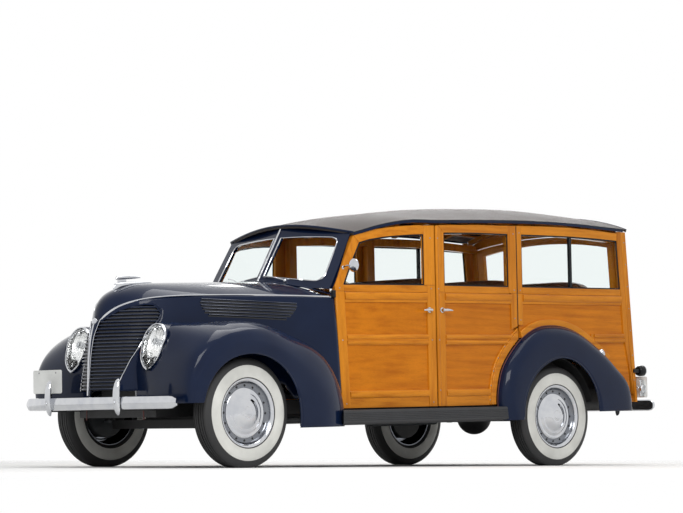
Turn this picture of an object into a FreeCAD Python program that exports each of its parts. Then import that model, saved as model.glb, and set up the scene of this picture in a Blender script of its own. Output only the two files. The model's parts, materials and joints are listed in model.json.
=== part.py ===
"""Late-1930s wood-bodied station wagon, built as separate pieces in one FreeCAD document.

Millimetres, +Z up, the front towards -X and the left side towards -Y. Pieces are drawn from
the front axle: x runs back from it and z up from the road. The body and its frame stand
nose down by "rake" about that line, while the axles and wheels stay square to the road.
Every node's Placement then moves the whole so that its origin is under the middle of it.
"""
import FreeCAD, Part
import math
import os
import re
from types import SimpleNamespace

from FreeCAD import Placement, Rotation, Vector

os.makedirs("parts", exist_ok=True)
doc = FreeCAD.newDocument("StationWagon")
sheet = doc.addObject("Spreadsheet::Sheet", "Sizes")

# alias, value in mm or degrees, what it sets
SIZES = [
    ("wheelbase", 2845, "front axle to rear axle"),
    ("track_front", 1410, "between front tyre centres"),
    ("track_rear", 1480, "between rear tyre centres"),
    ("rake", 1.5, "degrees that the body stands nose down"),
    ("origin_shift", 0, "front axle to the middle of the length, measured below"),
    # wheels
    ("tyre_radius", 352, "to the tread"),
    ("tyre_sag", 5, "flat of the tyre on the road"),
    ("tyre_width", 160, "over the sidewalls"),
    ("tread_width", 116, "across the tread"),
    ("rim_radius", 205, "where the tyre's bead sits"),
    ("rim_width", 124, "over the rim's flanges"),
    ("rim_wall", 6, "rim and disc plate"),
    ("flange_radius", 222, "rim flange"),
    ("disc_offset", 34, "wheel disc outboard of the tyre's centre"),
    ("cap_radius", 130, "hub cap"),
    ("cap_rise", 46, "hub cap's dome"),
    ("drum_radius", 150, "brake drum"),
    ("drum_depth", 58, "brake drum along the axle"),
    ("spindle_radius", 20, "front spindle"),
    ("spindle_gap", 2, "spindle or kingpin to its bore"),
    ("kingpin_inset", 72, "kingpin inboard of the tyre's centre"),
    ("kingpin_radius", 13, "kingpin"),
    ("kingpin_half", 58, "half the kingpin's length"),
    ("ear_radius", 27, "kingpin bosses"),
    ("ear_height", 20, "each ear of the knuckle"),
    ("moving_gap", 6, "between pieces that move past each other"),
    ("steering_arm", 150, "kingpin to tie rod"),
    ("tie_rod_radius", 11, "tie rod"),
    # frame and floor
    ("frame_half", 395, "outside of the side rails"),
    ("rail_width", 55, "side rail"),
    ("rail_height", 95, "side rail"),
    ("frame_bottom", 330, "underside of the side rails"),
    ("frame_front", 430, "front end of the rails ahead of the axle"),
    ("frame_rear", 3690, "rear end of the rails"),
    ("floor_bottom", 430, "underside of the floor"),
    ("floor_thick", 30, "floor boards"),
    # cabin sides
    ("body_half", 785, "outside of the doors and quarter panels"),
    ("side_thick", 38, "doors and side panels"),
    ("pane", 6, "window glass"),
    ("pane_depth", 18, "glass behind the outside face"),
    ("door_bottom", 360, "bottom edge of the doors"),
    ("belt", 1168, "waist of the body"),
    ("window_bottom", 1178, "bottom of the side windows"),
    ("cowl_edge", 893, "front edge of the front doors"),
    ("door_edge_top", 1091, "front edge of the front doors at the roof"),
    ("post_seam", 1703, "seam between the doors"),
    ("rear_seam", 2508, "seam behind the rear doors"),
    ("cowl_half_low", 700, "half width at the cowl, bottom"),
    ("cowl_half_belt", 645, "half width at the cowl, belt"),
    ("cowl_half_top", 501, "half width that the cowl would have at the top of the doors"),
    ("seam_gap", 8, "gap at the door seams"),
    ("front_top", 1513, "top of the body side at the windscreen"),
    ("seam_top", 1588, "top of the body side between the doors"),
    ("rear_seam_top", 1610, "top of the body side behind the rear doors"),
    ("tail_top", 1578, "top of the body side at the tail"),
    ("tail_x_top", 3664, "tail of the body at the roof"),
    ("tail_x_low", 3757, "tail of the body at the sills"),
    ("window_rail", 62, "wood above the side windows"),
    ("window_stile", 84, "wood beside the door seams"),
    ("post_width", 70, "body posts along the car"),
    ("post_depth", 52, "body posts across the car"),
    ("sill_height", 72, "body sills"),
    # roof and windscreen
    ("roof_thick", 26, "roof with its slats"),
    ("roof_front", 988, "front edge of the roof on the centreline"),
    ("roof_overhang", 42, "roof behind the tail"),
    ("screen_slab", 22, "windscreen frame"),
    # hood and cowl
    ("panel", 9, "pressed panels"),
    ("hood_gap", 6, "gap around the hood"),
    ("hood_rear_side", 862, "rear edge of the hood at its sides"),
    ("hood_rear_middle", 735, "rear edge of the hood on the centreline"),
    ("firewall_x", 655, "firewall behind the front axle"),
    ("apron_bottom", 520, "lower edge of the hood sides"),
    ("bar_pitch", 24, "between grille bars"),
    ("bar_height", 9, "each grille bar"),
    # fenders and running boards
    ("rear_fender_flare", 90, "rear fenders beyond the body sides"),
    ("front_fender_flare", 65, "front fenders beyond the body sides"),
    ("fender_bottom", 243, "lower edge of the fenders at the running boards"),
    ("fender_nose_bottom", 415, "lower edge of the front fenders' noses"),
    ("fender_tail_bottom", 298, "lower edge of the rear fenders behind the wheels"),
    ("door_arch_gap", 14, "rear door to the rear fender"),
    ("arch_rebate", 16, "further gap behind the rear door's outer half"),
    ("house_radius", 425, "rear wheel houses"),
    ("house_inner", 612, "inner wall of the rear wheel houses"),
    ("shield_reach", 596, "how far the houses' shields run ahead of the rear doors' seams"),
    ("board_top", 351, "top of the running boards"),
    ("board_thick", 100, "running boards"),
    ("board_flare", 61, "running boards beyond the body sides"),
    ("board_inner", 640, "inside of the running boards"),
    ("board_front", 770, "front end of the running boards, at the outside"),
    ("board_skew", 130, "how much further back that end lies against the body"),
    ("board_tuck", 88, "how far the boards run past the rear fenders' feet, at the outside"),
    # bumpers
    ("bumper_half", 775, "half width of the bumpers"),
    ("rear_bumper_bow", 80, "how far the rear bar bows outwards"),
    ("bumper_height", 82, "bumper bars"),
    ("bumper_thick", 20, "bumper bars"),
    ("bumper_bow", 155, "how far the bars bow outwards"),
    ("front_bumper_x", 735, "front bar ahead of the axle"),
    ("front_bumper_z", 424, "middle of the front bar"),
    ("rear_bumper_x", 4040, "rear bar behind the front axle"),
    ("rear_bumper_z", 335, "middle of the rear bar"),
    ("guard_half", 355, "bumper guards from the centreline"),
    ("guard_height", 228, "bumper guards"),
    ("guard_width", 46, "bumper guards"),
    ("guard_depth", 30, "bumper guards"),
    # lamps and plates
    ("lamp_half", 395, "headlights from the centreline"),
    ("lamp_width", 200, "headlights"),
    ("lamp_height", 278, "headlights"),
    ("lamp_rim", 9, "headlight rims"),
    ("plate_width", 305, "licence plates"),
    ("plate_height", 152, "licence plates"),
    ("plate_thick", 3, "licence plates"),
    # tail
    ("tail_half", 690, "half width of the gates"),
    ("gate_thick", 38, "liftgate and tailgate"),
    ("gate_split", 1140, "between the gates"),
    ("tailgate_bottom", 552, "bottom edge of the tailgate"),
    # inside
    ("seat_half", 610, "half width of the benches"),
    ("seat_height", 330, "benches above the floor"),
    ("seat_cushion", 150, "cushion"),
    ("seat_back", 130, "thickness of the backrests"),
    ("seat_back_height", 470, "backrests above the cushions"),
    ("wheel_rim_radius", 215, "steering wheel"),
    ("wheel_rim_tube", 12, "steering wheel rim's section"),
    ("driver_half", 350, "steering column from the centreline"),
]

ALIASES = {alias for alias, _, _ in SIZES}
CELLS = {}
for row, (alias, value, meaning) in enumerate(SIZES, start=1):
    CELLS[alias] = f"B{row}"
    sheet.set(f"A{row}", meaning)
    sheet.set(f"B{row}", str(value))
    sheet.setAlias(f"B{row}", alias)
doc.recompute()
S = SimpleNamespace(**{alias: float(sheet.get(alias)) for alias in ALIASES})

hub = S.tyre_radius - S.tyre_sag
rake = math.radians(S.rake)
NODES = []


# ---------------------------------------------------------------- document helpers
def tie(text):
    """An expression over the sheet from plain text that names its aliases."""
    return re.sub(r"[a-z_]+", lambda word: "Sizes." + word[0] if word[0] in ALIASES else word[0], text)


def bind(thing, **expressions):
    for prop, text in expressions.items():
        thing.setExpression(prop.replace("__", "."), tie(text))
    return thing


def place(thing, x, y, z, axis=None, angle=0):
    """Puts a primitive at expressions x, y, z, turned by angle about axis."""
    if axis:
        thing.Placement = Placement(Vector(0, 0, 0), Rotation(Vector(*axis), angle))
    return bind(thing, Placement__Base__x=x, Placement__Base__y=y, Placement__Base__z=z)


def box(x, y, z, length, width, height):
    thing = doc.addObject("Part::Box", "Box")
    bind(thing, Length=length, Width=width, Height=height)
    return place(thing, x, y, z)


def rod(x, y, z, radius, height, axis=None, angle=0):
    thing = doc.addObject("Part::Cylinder", "Rod")
    bind(thing, Radius=radius, Height=height)
    return place(thing, x, y, z, axis, angle)


def shaped(shape):
    """A computed shape as an object of the document."""
    thing = doc.addObject("Part::Feature", "Shaped")
    thing.Shape = shape
    return thing


def joined(pieces):
    if len(pieces) == 1:
        return pieces[0]
    thing = doc.addObject("Part::MultiFuse", "Joined")
    thing.Shapes = pieces
    return thing


def cut(base, tool):
    thing = doc.addObject("Part::Cut", "Trimmed")
    thing.Base = base
    thing.Tool = tool
    return thing


def node(label, pieces, on_road=False):
    """A sub-part: its pieces, its name and the frame it stands in."""
    thing = doc.addObject("Part::Compound", "Node")
    thing.Links = pieces
    thing.Label = label
    thing.Placement = Placement(Vector(0, 0, 0), Rotation(Vector(0, -1, 0), 0 if on_road else S.rake))
    if not on_road:
        thing.setExpression("Placement.Rotation.Angle", "Sizes.rake")
    thing.setExpression("Placement.Base.x", "-Sizes.origin_shift")
    NODES.append(thing)
    return thing


# ---------------------------------------------------------------- geometry helpers
def wire(start, *steps):
    """A closed wire: a step is a point for a line, or (middle, end) for an arc."""
    edges = []
    first = here = Vector(*start)
    for step in steps:
        if len(step) == 2:
            middle, end = Vector(*step[0]), Vector(*step[1])
            edges.append(Part.Arc(here, middle, end).toShape())
        else:
            end = Vector(*step)
            edges.append(Part.makeLine(here, end))
        here = end
    if here.distanceToPoint(first) > 1e-6:
        edges.append(Part.makeLine(here, first))
    return Part.Wire(edges)


def lifted(steps, lift):
    """The steps of a flat outline, each point put in space by lift."""
    return [(lift(step[0]), lift(step[1])) if isinstance(step[0], tuple) else lift(step) for step in steps]


def side_plate(y_from, y_to, start, *steps):
    """A plate seen from the side: its outline's points are (x, z)."""
    def lift(point):
        return (point[0], y_from, point[1])

    face = Part.Face(wire(lift(start), *lifted(steps, lift)))
    return face.extrude(Vector(0, y_to - y_from, 0))


def plan_plate(z_from, z_to, start, *steps):
    """A plate seen from above: its outline's points are (x, y)."""
    def lift(point):
        return (point[0], point[1], z_from)

    face = Part.Face(wire(lift(start), *lifted(steps, lift)))
    return face.extrude(Vector(0, 0, z_to - z_from))


def loft(wires, ruled=True):
    return Part.makeLoft(wires, True, ruled)


def mirrored(shape):
    return shape.mirror(Vector(0, 0, 0), Vector(0, 1, 0))


def to_body(x, z):
    """A place given square to the road, in the raked body's own frame."""
    return (x * math.cos(rake) + z * math.sin(rake), z * math.cos(rake) - x * math.sin(rake))


front_hub = to_body(0, hub)
rear_hub = to_body(S.wheelbase, hub)


def mix(low, high, share):
    return low + (high - low) * share


def along(table, x):
    """A value read between the rows (x, value) of a short table."""
    for (x_a, a), (x_b, b) in zip(table, table[1:]):
        if x <= x_b:
            return mix(a, b, (x - x_a) / (x_b - x_a))
    return table[-1][1]


# ---------------------------------------------------------------- wheels
def wheel_nodes(label, side, x, track):
    """side is -1 on the left. The tyre is a revolved profile with its flat on the road."""
    outer = side
    centre = Vector(x, side * track / 2, hub)
    half = S.tyre_width / 2
    tread = S.tread_width / 2
    shoulder = S.tyre_radius - 20
    bead = S.rim_radius
    bead_half = S.rim_width / 2
    belly = (bead + shoulder) / 2
    profile = wire(
        (bead, -bead_half, 0),
        ((belly, -half, 0), (shoulder, -tread - 8, 0)),
        ((S.tyre_radius - 5, -tread + 4, 0), (S.tyre_radius, -tread / 2, 0)),
        (S.tyre_radius, tread / 2, 0),
        ((S.tyre_radius - 5, tread - 4, 0), (shoulder, tread + 8, 0)),
        ((belly, half, 0), (bead, bead_half, 0)),
    )
    tyre = Part.Face(profile).revolve(Vector(0, 0, 0), Vector(0, 1, 0), 360)
    road = Part.makeBox(600, 600, 200, Vector(-300, -300, -hub - 200))
    tyre = tyre.cut(road)
    wall = S.rim_wall
    y_disc = outer * S.disc_offset
    drum_in = y_disc - outer * S.drum_depth
    bore = S.spindle_radius + S.spindle_gap
    lip = S.flange_radius
    # half of the rim, disc, drum and cap in one revolved outline, radius against y
    disc = Part.Face(wire(
        (bore, y_disc, 0),
        (S.drum_radius, y_disc, 0),
        (bead - wall, y_disc, 0),
        (bead - wall, outer * (bead_half + wall), 0),
        (lip, outer * (bead_half + wall), 0),
        (lip, outer * bead_half, 0),
        (bead, outer * bead_half, 0),
        (bead, -outer * bead_half, 0),
        (lip, -outer * bead_half, 0),
        (lip, -outer * (bead_half + wall), 0),
        (bead - wall, -outer * (bead_half + wall), 0),
        (bead - wall, y_disc - outer * wall, 0),
        (S.drum_radius, y_disc - outer * wall, 0),
        (S.drum_radius, drum_in, 0),
        (S.drum_radius - wall, drum_in, 0),
        (S.drum_radius - wall, y_disc - outer * wall, 0),
        (bore, y_disc - outer * wall, 0),
    )).revolve(Vector(0, 0, 0), Vector(0, 1, 0), 360)
    cap = Part.Face(wire(
        (0, y_disc, 0),
        (S.cap_radius, y_disc, 0),
        ((S.cap_radius * 0.72, y_disc + outer * S.cap_rise * 0.72, 0), (0, y_disc + outer * S.cap_rise, 0)),
    )).revolve(Vector(0, 0, 0), Vector(0, 1, 0), 360)
    rim = disc.fuse(cap)
    tyre = tyre.cut(rim)
    tyre.translate(centre)
    node("tyre_" + label, [shaped(tyre)], on_road=True)
    rim.translate(centre)
    node("wheel_" + label, [shaped(rim)], on_road=True)


for label, side, x, track in [
    ("front_left", -1, 0, S.track_front),
    ("front_right", 1, 0, S.track_front),
    ("rear_left", -1, S.wheelbase, S.track_rear),
    ("rear_right", 1, S.wheelbase, S.track_rear),
]:
    wheel_nodes(label, side, x, track)

kingpin_half_track = S.track_front / 2 - S.kingpin_inset


# ---------------------------------------------------------------- axles, knuckles, steering
def knuckle(label, side):
    """Ears over and under the axle's boss, the backing plate, spindle and steering arm."""
    y_pin = side * kingpin_half_track
    plate_y = side * (S.track_front / 2 + S.disc_offset - S.drum_depth - S.moving_gap - 6)
    pieces = [Part.makeCylinder(S.kingpin_radius, 2 * S.kingpin_half,
                                Vector(0, y_pin, hub - S.kingpin_half))]
    for z in (hub - S.kingpin_half, hub + S.kingpin_half - S.ear_height):
        pieces.append(Part.makeCylinder(S.ear_radius, S.ear_height, Vector(0, y_pin, z)))
        width = abs(plate_y - y_pin) + 3
        y_low = min(y_pin, plate_y) if side > 0 else plate_y - 3
        pieces.append(Part.makeBox(2 * S.ear_radius, width, S.ear_height, Vector(-S.ear_radius, y_low, z)))
    pieces.append(Part.makeCylinder(S.drum_radius - 2, 6, Vector(0, plate_y, hub), Vector(0, side, 0)))
    pieces.append(Part.makeCylinder(S.spindle_radius, S.drum_depth + 4, Vector(0, plate_y, hub),
                                    Vector(0, side, 0)))
    arm_z = hub - S.kingpin_half
    pieces.append(Part.makeBox(S.steering_arm, 24, S.ear_height, Vector(0, y_pin - 12, arm_z)))
    pin = Part.makeCylinder(8, 26, Vector(S.steering_arm, y_pin, arm_z - 26))
    eye = Part.makeCylinder(16, S.ear_height, Vector(S.steering_arm, y_pin, arm_z))
    shape = pieces[0].multiFuse(pieces[1:] + [pin, eye]).removeSplitter()
    node("knuckle_" + label, [shaped(shape)], on_road=True)


knuckle("left", -1)
knuckle("right", 1)

# the tie rod hangs from both arms' pins, its right eye open by a clearance
rod_z = hub - S.kingpin_half - 24
tie_rod = Part.makeCylinder(S.tie_rod_radius, 2 * kingpin_half_track - 36,
                            Vector(S.steering_arm, -kingpin_half_track + 18, rod_z + 11), Vector(0, 1, 0))
for side in (-1, 1):
    at = Vector(S.steering_arm, side * kingpin_half_track, rod_z)
    eye = Part.makeCylinder(20, 20, at).cut(Part.makeCylinder(8 + S.spindle_gap, 20, at))
    tie_rod = tie_rod.fuse(eye)
node("tie_rod", [shaped(tie_rod)], on_road=True)

# front axle: a dropped beam between the kingpin bosses
boss_half = S.kingpin_half - S.ear_height - 3
beam_end = kingpin_half_track - S.ear_radius - 30
beam_z = hub - 95
beam = box("-27", f"-{beam_end}", f"{beam_z}", "54", f"{2 * beam_end}", "58")
axle_pieces = [beam]
for side in (-1, 1):
    y_pin = side * kingpin_half_track
    boss = Part.makeCylinder(S.ear_radius, 2 * boss_half, Vector(0, y_pin, hub - boss_half))
    reach = abs(kingpin_half_track - beam_end) + 8
    y_low = -kingpin_half_track if side < 0 else beam_end - 8
    link = Part.makeBox(40, reach, 2 * boss_half - 4, Vector(-20, y_low, hub - boss_half + 2))
    bore = Part.makeCylinder(S.kingpin_radius + S.spindle_gap, 2 * boss_half + 4,
                             Vector(0, y_pin, hub - boss_half - 2))
    leg_y = -beam_end if side < 0 else beam_end - 30
    leg = Part.makeBox(54, 30, 100, Vector(-27, leg_y, beam_z))
    axle_pieces.append(shaped(boss.fuse([link, leg]).cut(bore)))
node("front_axle", [joined(axle_pieces)], on_road=True)

# rear axle: banjo and tubes, with the torque tube running forward
half_axle = S.track_rear / 2 + S.disc_offset - S.rim_wall - 2
tube = rod("wheelbase", f"-{half_axle}", "tyre_radius - tyre_sag", "32", f"{2 * half_axle}", (1, 0, 0), -90)
banjo = doc.addObject("Part::Sphere", "Banjo")
banjo.Radius = 125
place(banjo, "wheelbase", "0", "tyre_radius - tyre_sag")
torque = rod("950", "0", "tyre_radius - tyre_sag", "38", "wheelbase - 950 - 60", (0, 1, 0), 90)
plates = []
for side in (-1, 1):
    inner = S.track_rear / 2 + S.disc_offset - S.drum_depth - S.moving_gap - 6
    low = inner if side > 0 else -inner - 6
    plates.append(rod("wheelbase", f"{low}", "tyre_radius - tyre_sag", "drum_radius - 2", "6",
                      (1, 0, 0), -90))
    stop = inner - 60
    low = stop if side > 0 else -stop - 60
    plates.append(rod("wheelbase", f"{low}", "tyre_radius - tyre_sag", "46", "60", (1, 0, 0), -90))
node("rear_axle", [joined([tube, banjo, torque] + plates)], on_road=True)


# transverse springs over both axles: an arch with a flat underside at its ends
def spring(x, z, half, rise, leaf):
    return Part.Face(wire(
        (x, -half, z),
        ((x, 0, z + rise), (x, half, z)),
        (x, half, z - leaf * 0.4),
        ((x, 0, z + rise - leaf), (x, -half, z - leaf * 0.4)),
    )).extrude(Vector(45, 0, 0))


springs = [
    spring(38, hub - 60, 470, 55, 40),
    spring(S.wheelbase + 150, hub - 20, 430, 55, 40),
]
node("leaf_springs", [shaped(piece) for piece in springs], on_road=True)

# ---------------------------------------------------------------- frame and floor
low = S.frame_bottom
high = low + S.rail_height
rear_x = rear_hub[0]
rail_outline = [(-S.frame_front, low), (S.frame_rear, low), (S.frame_rear, high), (-S.frame_front, high)]
members = []
for side in (-1, 1):
    y_from = side * S.frame_half
    members.append(shaped(side_plate(y_from, y_from - side * S.rail_width, *rail_outline)))
span = "2*frame_half - 2*rail_width + 2"
y_in = "-frame_half + rail_width - 1"
for x, z in [("-frame_front", "frame_bottom"), ("560", "frame_bottom"), ("860", "frame_bottom + 8"),
             ("frame_rear - 70", "frame_bottom + 8")]:
    members.append(box(x, y_in, z, "70", span, "rail_height - 16"))
node("chassis_frame", [joined(members)])


floor_top = S.floor_bottom + S.floor_thick
arch_half = S.house_radius + 12
floor = plan_plate(
    S.floor_bottom, floor_top,
    (660, -S.cowl_half_low + 130),
    (S.cowl_edge, -S.cowl_half_low + S.side_thick + 8),
    (S.post_seam, -S.body_half + S.side_thick + S.post_depth),
    (rear_x - arch_half, -S.body_half + S.side_thick + S.post_depth),
    (rear_x - arch_half, -S.house_inner + 2),
    (rear_x + arch_half, -S.house_inner + 2),
    (rear_x + arch_half, -S.body_half + S.side_thick + S.post_depth),
    (S.tail_x_low - 60, -S.body_half + S.side_thick + S.post_depth),
    (S.tail_x_low - 60, 0),
    (660, 0),
)
node("floor_pan", [shaped(floor.fuse(mirrored(floor)).removeSplitter())])


# ---------------------------------------------------------------- body sides
# the top of the side at the cowl, the seams and the tail, and how far each stretch between bows up
ROOF_LINE = [(S.door_edge_top, S.front_top), (S.post_seam, S.seam_top), (S.rear_seam, S.rear_seam_top),
             (S.tail_x_top, S.tail_top)]
FRONT_RISE = 26
MIDDLE_RISE = 5
REAR_RISE = 12


def arched(a, b, rise):
    """The middle point of a gently arched edge from a to b."""
    return ((a[0] + b[0]) / 2, (a[1] + b[1]) / 2 + rise)


def half_width(x, z):
    """Outside of the front door: narrower towards the cowl, and leaning in above the belt."""
    at_cowl = along([(S.door_bottom, S.cowl_half_low), (S.belt, S.cowl_half_belt),
                     (S.seam_top, S.cowl_half_top)], z)
    span = (S.post_seam - x) / (S.post_seam - S.cowl_edge)
    return S.body_half - (S.body_half - at_cowl) * span * (0.35 + 0.65 * span)


def front_skin(outer_depth, inner_depth, x_stations, low, high):
    """A skin under the front door's outside face, between two depths, on the left side."""
    wires = []
    for x in x_stations:
        heights = (low, S.belt, high)
        outer = [(x, -half_width(x, z) + outer_depth, z) for z in heights]
        inner = [(x, -half_width(x, z) + inner_depth, z) for z in reversed(heights)]
        wires.append(wire(*(outer + inner)))
    return loft(wires)


half_gap = S.seam_gap / 2
front_stations = [S.cowl_edge - 40, mix(S.cowl_edge, S.post_seam, 0.5), S.post_seam + 4]
door_front_x = S.cowl_edge + S.moving_gap
front_door_outline = [
    (door_front_x, S.door_bottom), (S.post_seam - half_gap, S.door_bottom),
    (S.post_seam - half_gap, S.seam_top),
    (arched(ROOF_LINE[1], ROOF_LINE[0], FRONT_RISE), (S.door_edge_top + S.moving_gap, S.front_top)),
    (door_front_x, S.belt),
]
stile = S.window_stile
rail = S.window_rail
front_window_outline = [
    (S.cowl_edge + 68, S.window_bottom), (S.post_seam - stile - 20, S.window_bottom),
    (S.post_seam - stile - 12, S.seam_top - rail),
    (arched((S.post_seam - stile, S.seam_top - rail), (S.door_edge_top + 33, S.front_top - 50), 17),
     (S.door_edge_top + 33, S.front_top - 50)),
]


def door_handle(x, y, z, turn):
    """A lever on its boss, on the left side: turn is -1 to point forward."""
    boss = Part.makeCylinder(13, 30, Vector(x, y, z), Vector(0, -1, 0))
    lever = Part.makeBox(88, 10, 14, Vector(x - 8 if turn > 0 else x - 80, y - 38, z - 7))
    return boss.fuse(lever)


def both_sides(label, shape):
    """Left and right nodes from a left-hand shape."""
    node(label + "_left", [shaped(shape)])
    node(label + "_right", [shaped(mirrored(shape))])


def pair(label, shape):
    """One node of a left-hand shape and its mirror image."""
    node(label, [shaped(shape), shaped(mirrored(shape))])


handle_z = 1012
blank = front_skin(0, S.side_thick, front_stations, S.door_bottom - 5, S.seam_top + 5)
front_door = blank.common(side_plate(-900, -400, *front_door_outline))
front_door = front_door.cut(side_plate(-900, -400, *front_window_outline))
front_handle_x = S.post_seam - 62
front_door = front_door.fuse(door_handle(front_handle_x, -half_width(front_handle_x, handle_z) + 2,
                                         handle_z, -1))
both_sides("door_front", front_door)

pane_skin = front_skin(S.pane_depth, S.pane_depth + S.pane, front_stations,
                       S.door_bottom - 5, S.seam_top + 5)
front_glass = pane_skin.common(side_plate(-900, -400, *front_window_outline))
both_sides("glass_front", front_glass)

# the rear fender by angle about the rear hub: radius against the body, at the shoulder and at the lip
REAR_ARCH = [
    (184, 566, 478, 392),
    (175, 572, 500, 393),
    (166, 588, 527, 394),
    (157, 602, 544, 395),
    (148, 617, 559, 396),
    (133, 622, 564, 398),
    (118, 633, 575, 400),
    (104, 641, 583, 405),
    (90, 637, 579, 412),
    (70, 640, 582, 414),
    (50, 654, 596, 410),
    (30, 716, 658, 405),
    (16, 792, 734, 400),
    (2, 800, 742, 396),
]


def fender_point(hub_at, angle, radius):
    return (hub_at[0] + radius * math.cos(math.radians(angle)),
            hub_at[1] + radius * math.sin(math.radians(angle)))


def rear_arch(clear, count=9):
    """The fender's outline from its front foot to its crest, pushed out by a clearance, as arcs."""
    points = [fender_point(rear_hub, row[0], row[1] + clear) for row in REAR_ARCH[:count]]
    steps = [(points[i], points[i + 1]) for i in range(1, count - 1, 2)]
    return points[0], steps


foot, arch_steps = rear_arch(S.door_arch_gap)
arch_tool = side_plate(-900, -600, foot, *arch_steps, (rear_hub[0], S.door_bottom - 200),
                       (foot[0], S.door_bottom - 200))
low_side = -S.body_half
deep_side = -S.body_half + S.side_thick
rear_door = side_plate(
    low_side, deep_side,
    (S.post_seam + half_gap, S.door_bottom), (S.rear_seam - half_gap, S.door_bottom),
    (S.rear_seam - half_gap, S.rear_seam_top),
    (arched(ROOF_LINE[2], ROOF_LINE[1], MIDDLE_RISE), (S.post_seam + half_gap, S.seam_top)),
)
rear_window_outline = [
    (S.post_seam + stile, S.window_bottom), (S.rear_seam - stile, S.window_bottom),
    (S.rear_seam - stile, S.rear_seam_top - rail),
    (arched((S.rear_seam - stile, S.rear_seam_top - rail), (S.post_seam + stile, S.seam_top - rail + 6), 4),
     (S.post_seam + stile, S.seam_top - rail + 6)),
]
rebate_foot, rebate_steps = rear_arch(S.door_arch_gap + S.arch_rebate)
rebate = side_plate(low_side + S.side_thick / 2, -600, rebate_foot, *rebate_steps,
                    (rear_hub[0], S.door_bottom - 200), (rebate_foot[0], S.door_bottom - 200))
rear_door = rear_door.cut(side_plate(-900, -600, *rear_window_outline)).cut(arch_tool).cut(rebate)
rear_door = rear_door.fuse(door_handle(S.post_seam + 45, low_side + 2, handle_z, 1))
both_sides("door_rear", rear_door)
pane_from = low_side + S.pane_depth
both_sides("glass_rear", side_plate(pane_from, pane_from + S.pane, *rear_window_outline))


def tail_x(z):
    """The tail leans forward as it rises."""
    return mix(S.tail_x_low, S.tail_x_top, (z - S.door_bottom) / (S.tail_top - S.door_bottom))


house = Part.makeCylinder(S.house_radius, 400, Vector(rear_hub[0], -950, rear_hub[1]), Vector(0, 1, 0))
quarter = side_plate(
    low_side, deep_side,
    (S.rear_seam + half_gap, S.door_bottom), (tail_x(S.door_bottom), S.door_bottom),
    (S.tail_x_top, S.tail_top),
    (arched(ROOF_LINE[3], ROOF_LINE[2], REAR_RISE), (S.rear_seam + half_gap, S.rear_seam_top)),
)
quarter_window = [
    (S.rear_seam + 52, S.window_bottom), (tail_x(S.window_bottom) - 98, S.window_bottom),
    (tail_x(S.tail_top) - 92, S.tail_top - rail + 12),
    (arched((S.tail_x_top - 92, S.tail_top - rail + 12), (S.rear_seam + 52, S.rear_seam_top - rail), 10),
     (S.rear_seam + 52, S.rear_seam_top - rail)),
]
quarter = quarter.cut(side_plate(-900, -600, *quarter_window)).cut(house)
stile_x = 3060
meeting = side_plate(low_side + 8, deep_side - 6, (stile_x, S.window_bottom - 5),
                     (stile_x + 26, S.window_bottom - 5), (stile_x + 26, S.rear_seam_top - rail + 12),
                     (stile_x, S.rear_seam_top - rail + 12))
slide = side_plate(pane_from, pane_from + S.pane, *quarter_window).cut(
    Part.makeBox(26, 100, 600, Vector(stile_x, pane_from - 50, S.window_bottom - 20)))
pair("quarter_panels", quarter.fuse(meeting))
pair("quarter_glass", slide)

# ---------------------------------------------------------------- wheel houses
barrel = Part.makeCylinder(S.house_radius, S.body_half - 3 - S.house_inner,
                           Vector(rear_hub[0], -S.body_half + 3, rear_hub[1]), Vector(0, 1, 0))
bore = Part.makeCylinder(S.house_radius - 8, S.body_half - 3 - S.house_inner - 8,
                         Vector(rear_hub[0], -S.body_half + 3, rear_hub[1]), Vector(0, 1, 0))
under = Part.makeBox(1200, 400, 600, Vector(rear_hub[0] - 600, -900, S.door_bottom + 10 - 600))
barrel = barrel.cut(bore).cut(under)
shield_foot, inner_steps = rear_arch(-4)
shield = side_plate(low_side + 3, deep_side - 3, shield_foot, *inner_steps,
                    (rear_hub[0], S.door_bottom + 10), (shield_foot[0], S.door_bottom + 10))
shield_corner = Vector(S.rear_seam - S.shield_reach, -900, S.door_bottom + 10)
shield = shield.common(Part.makeBox(600, 400, 900, shield_corner))
shield = shield.cut(bore)
house_left = barrel.fuse(shield)
pair("wheel_houses", house_left)

# ---------------------------------------------------------------- posts, sills and roof rails
post_out = deep_side + S.moving_gap
post_in = post_out + S.post_depth


def post(x, z_top):
    return Part.makeBox(S.post_width, S.post_depth, z_top - floor_top,
                        Vector(x, post_out, floor_top))


sill_x = S.post_seam - half_gap
sill = plan_plate(
    floor_top, floor_top + S.sill_height,
    (sill_x, post_out), (rear_x - S.house_radius - 12, post_out),
    (rear_x - S.house_radius - 12, post_in), (sill_x, post_in),
)
rail_low = S.window_rail
rail_top = 8
rail_end = tail_x(S.tail_top) - 40
roof_rail = side_plate(
    post_out, post_in,
    (sill_x, S.seam_top - rail_low),
    (arched(ROOF_LINE[1], ROOF_LINE[2], MIDDLE_RISE - rail_low), (S.rear_seam, S.rear_seam_top - rail_low)),
    (arched(ROOF_LINE[2], ROOF_LINE[3], REAR_RISE - rail_low), (rail_end, S.tail_top - rail_low)),
    (rail_end, S.tail_top - rail_top),
    (arched(ROOF_LINE[3], ROOF_LINE[2], REAR_RISE - rail_top), (S.rear_seam, S.rear_seam_top - rail_top)),
    (arched(ROOF_LINE[2], ROOF_LINE[1], MIDDLE_RISE - rail_top), (sill_x, S.seam_top - rail_top)),
)
left_posts = post(sill_x, S.seam_top - 30).fuse([
    post(S.rear_seam - S.post_width / 2, S.rear_seam_top - 30), sill, roof_rail])
around_house = Part.makeCylinder(S.house_radius + 1, 300, Vector(rear_hub[0], -900, rear_hub[1]),
                                 Vector(0, 1, 0))
pair("body_posts", left_posts.cut(around_house))


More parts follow.
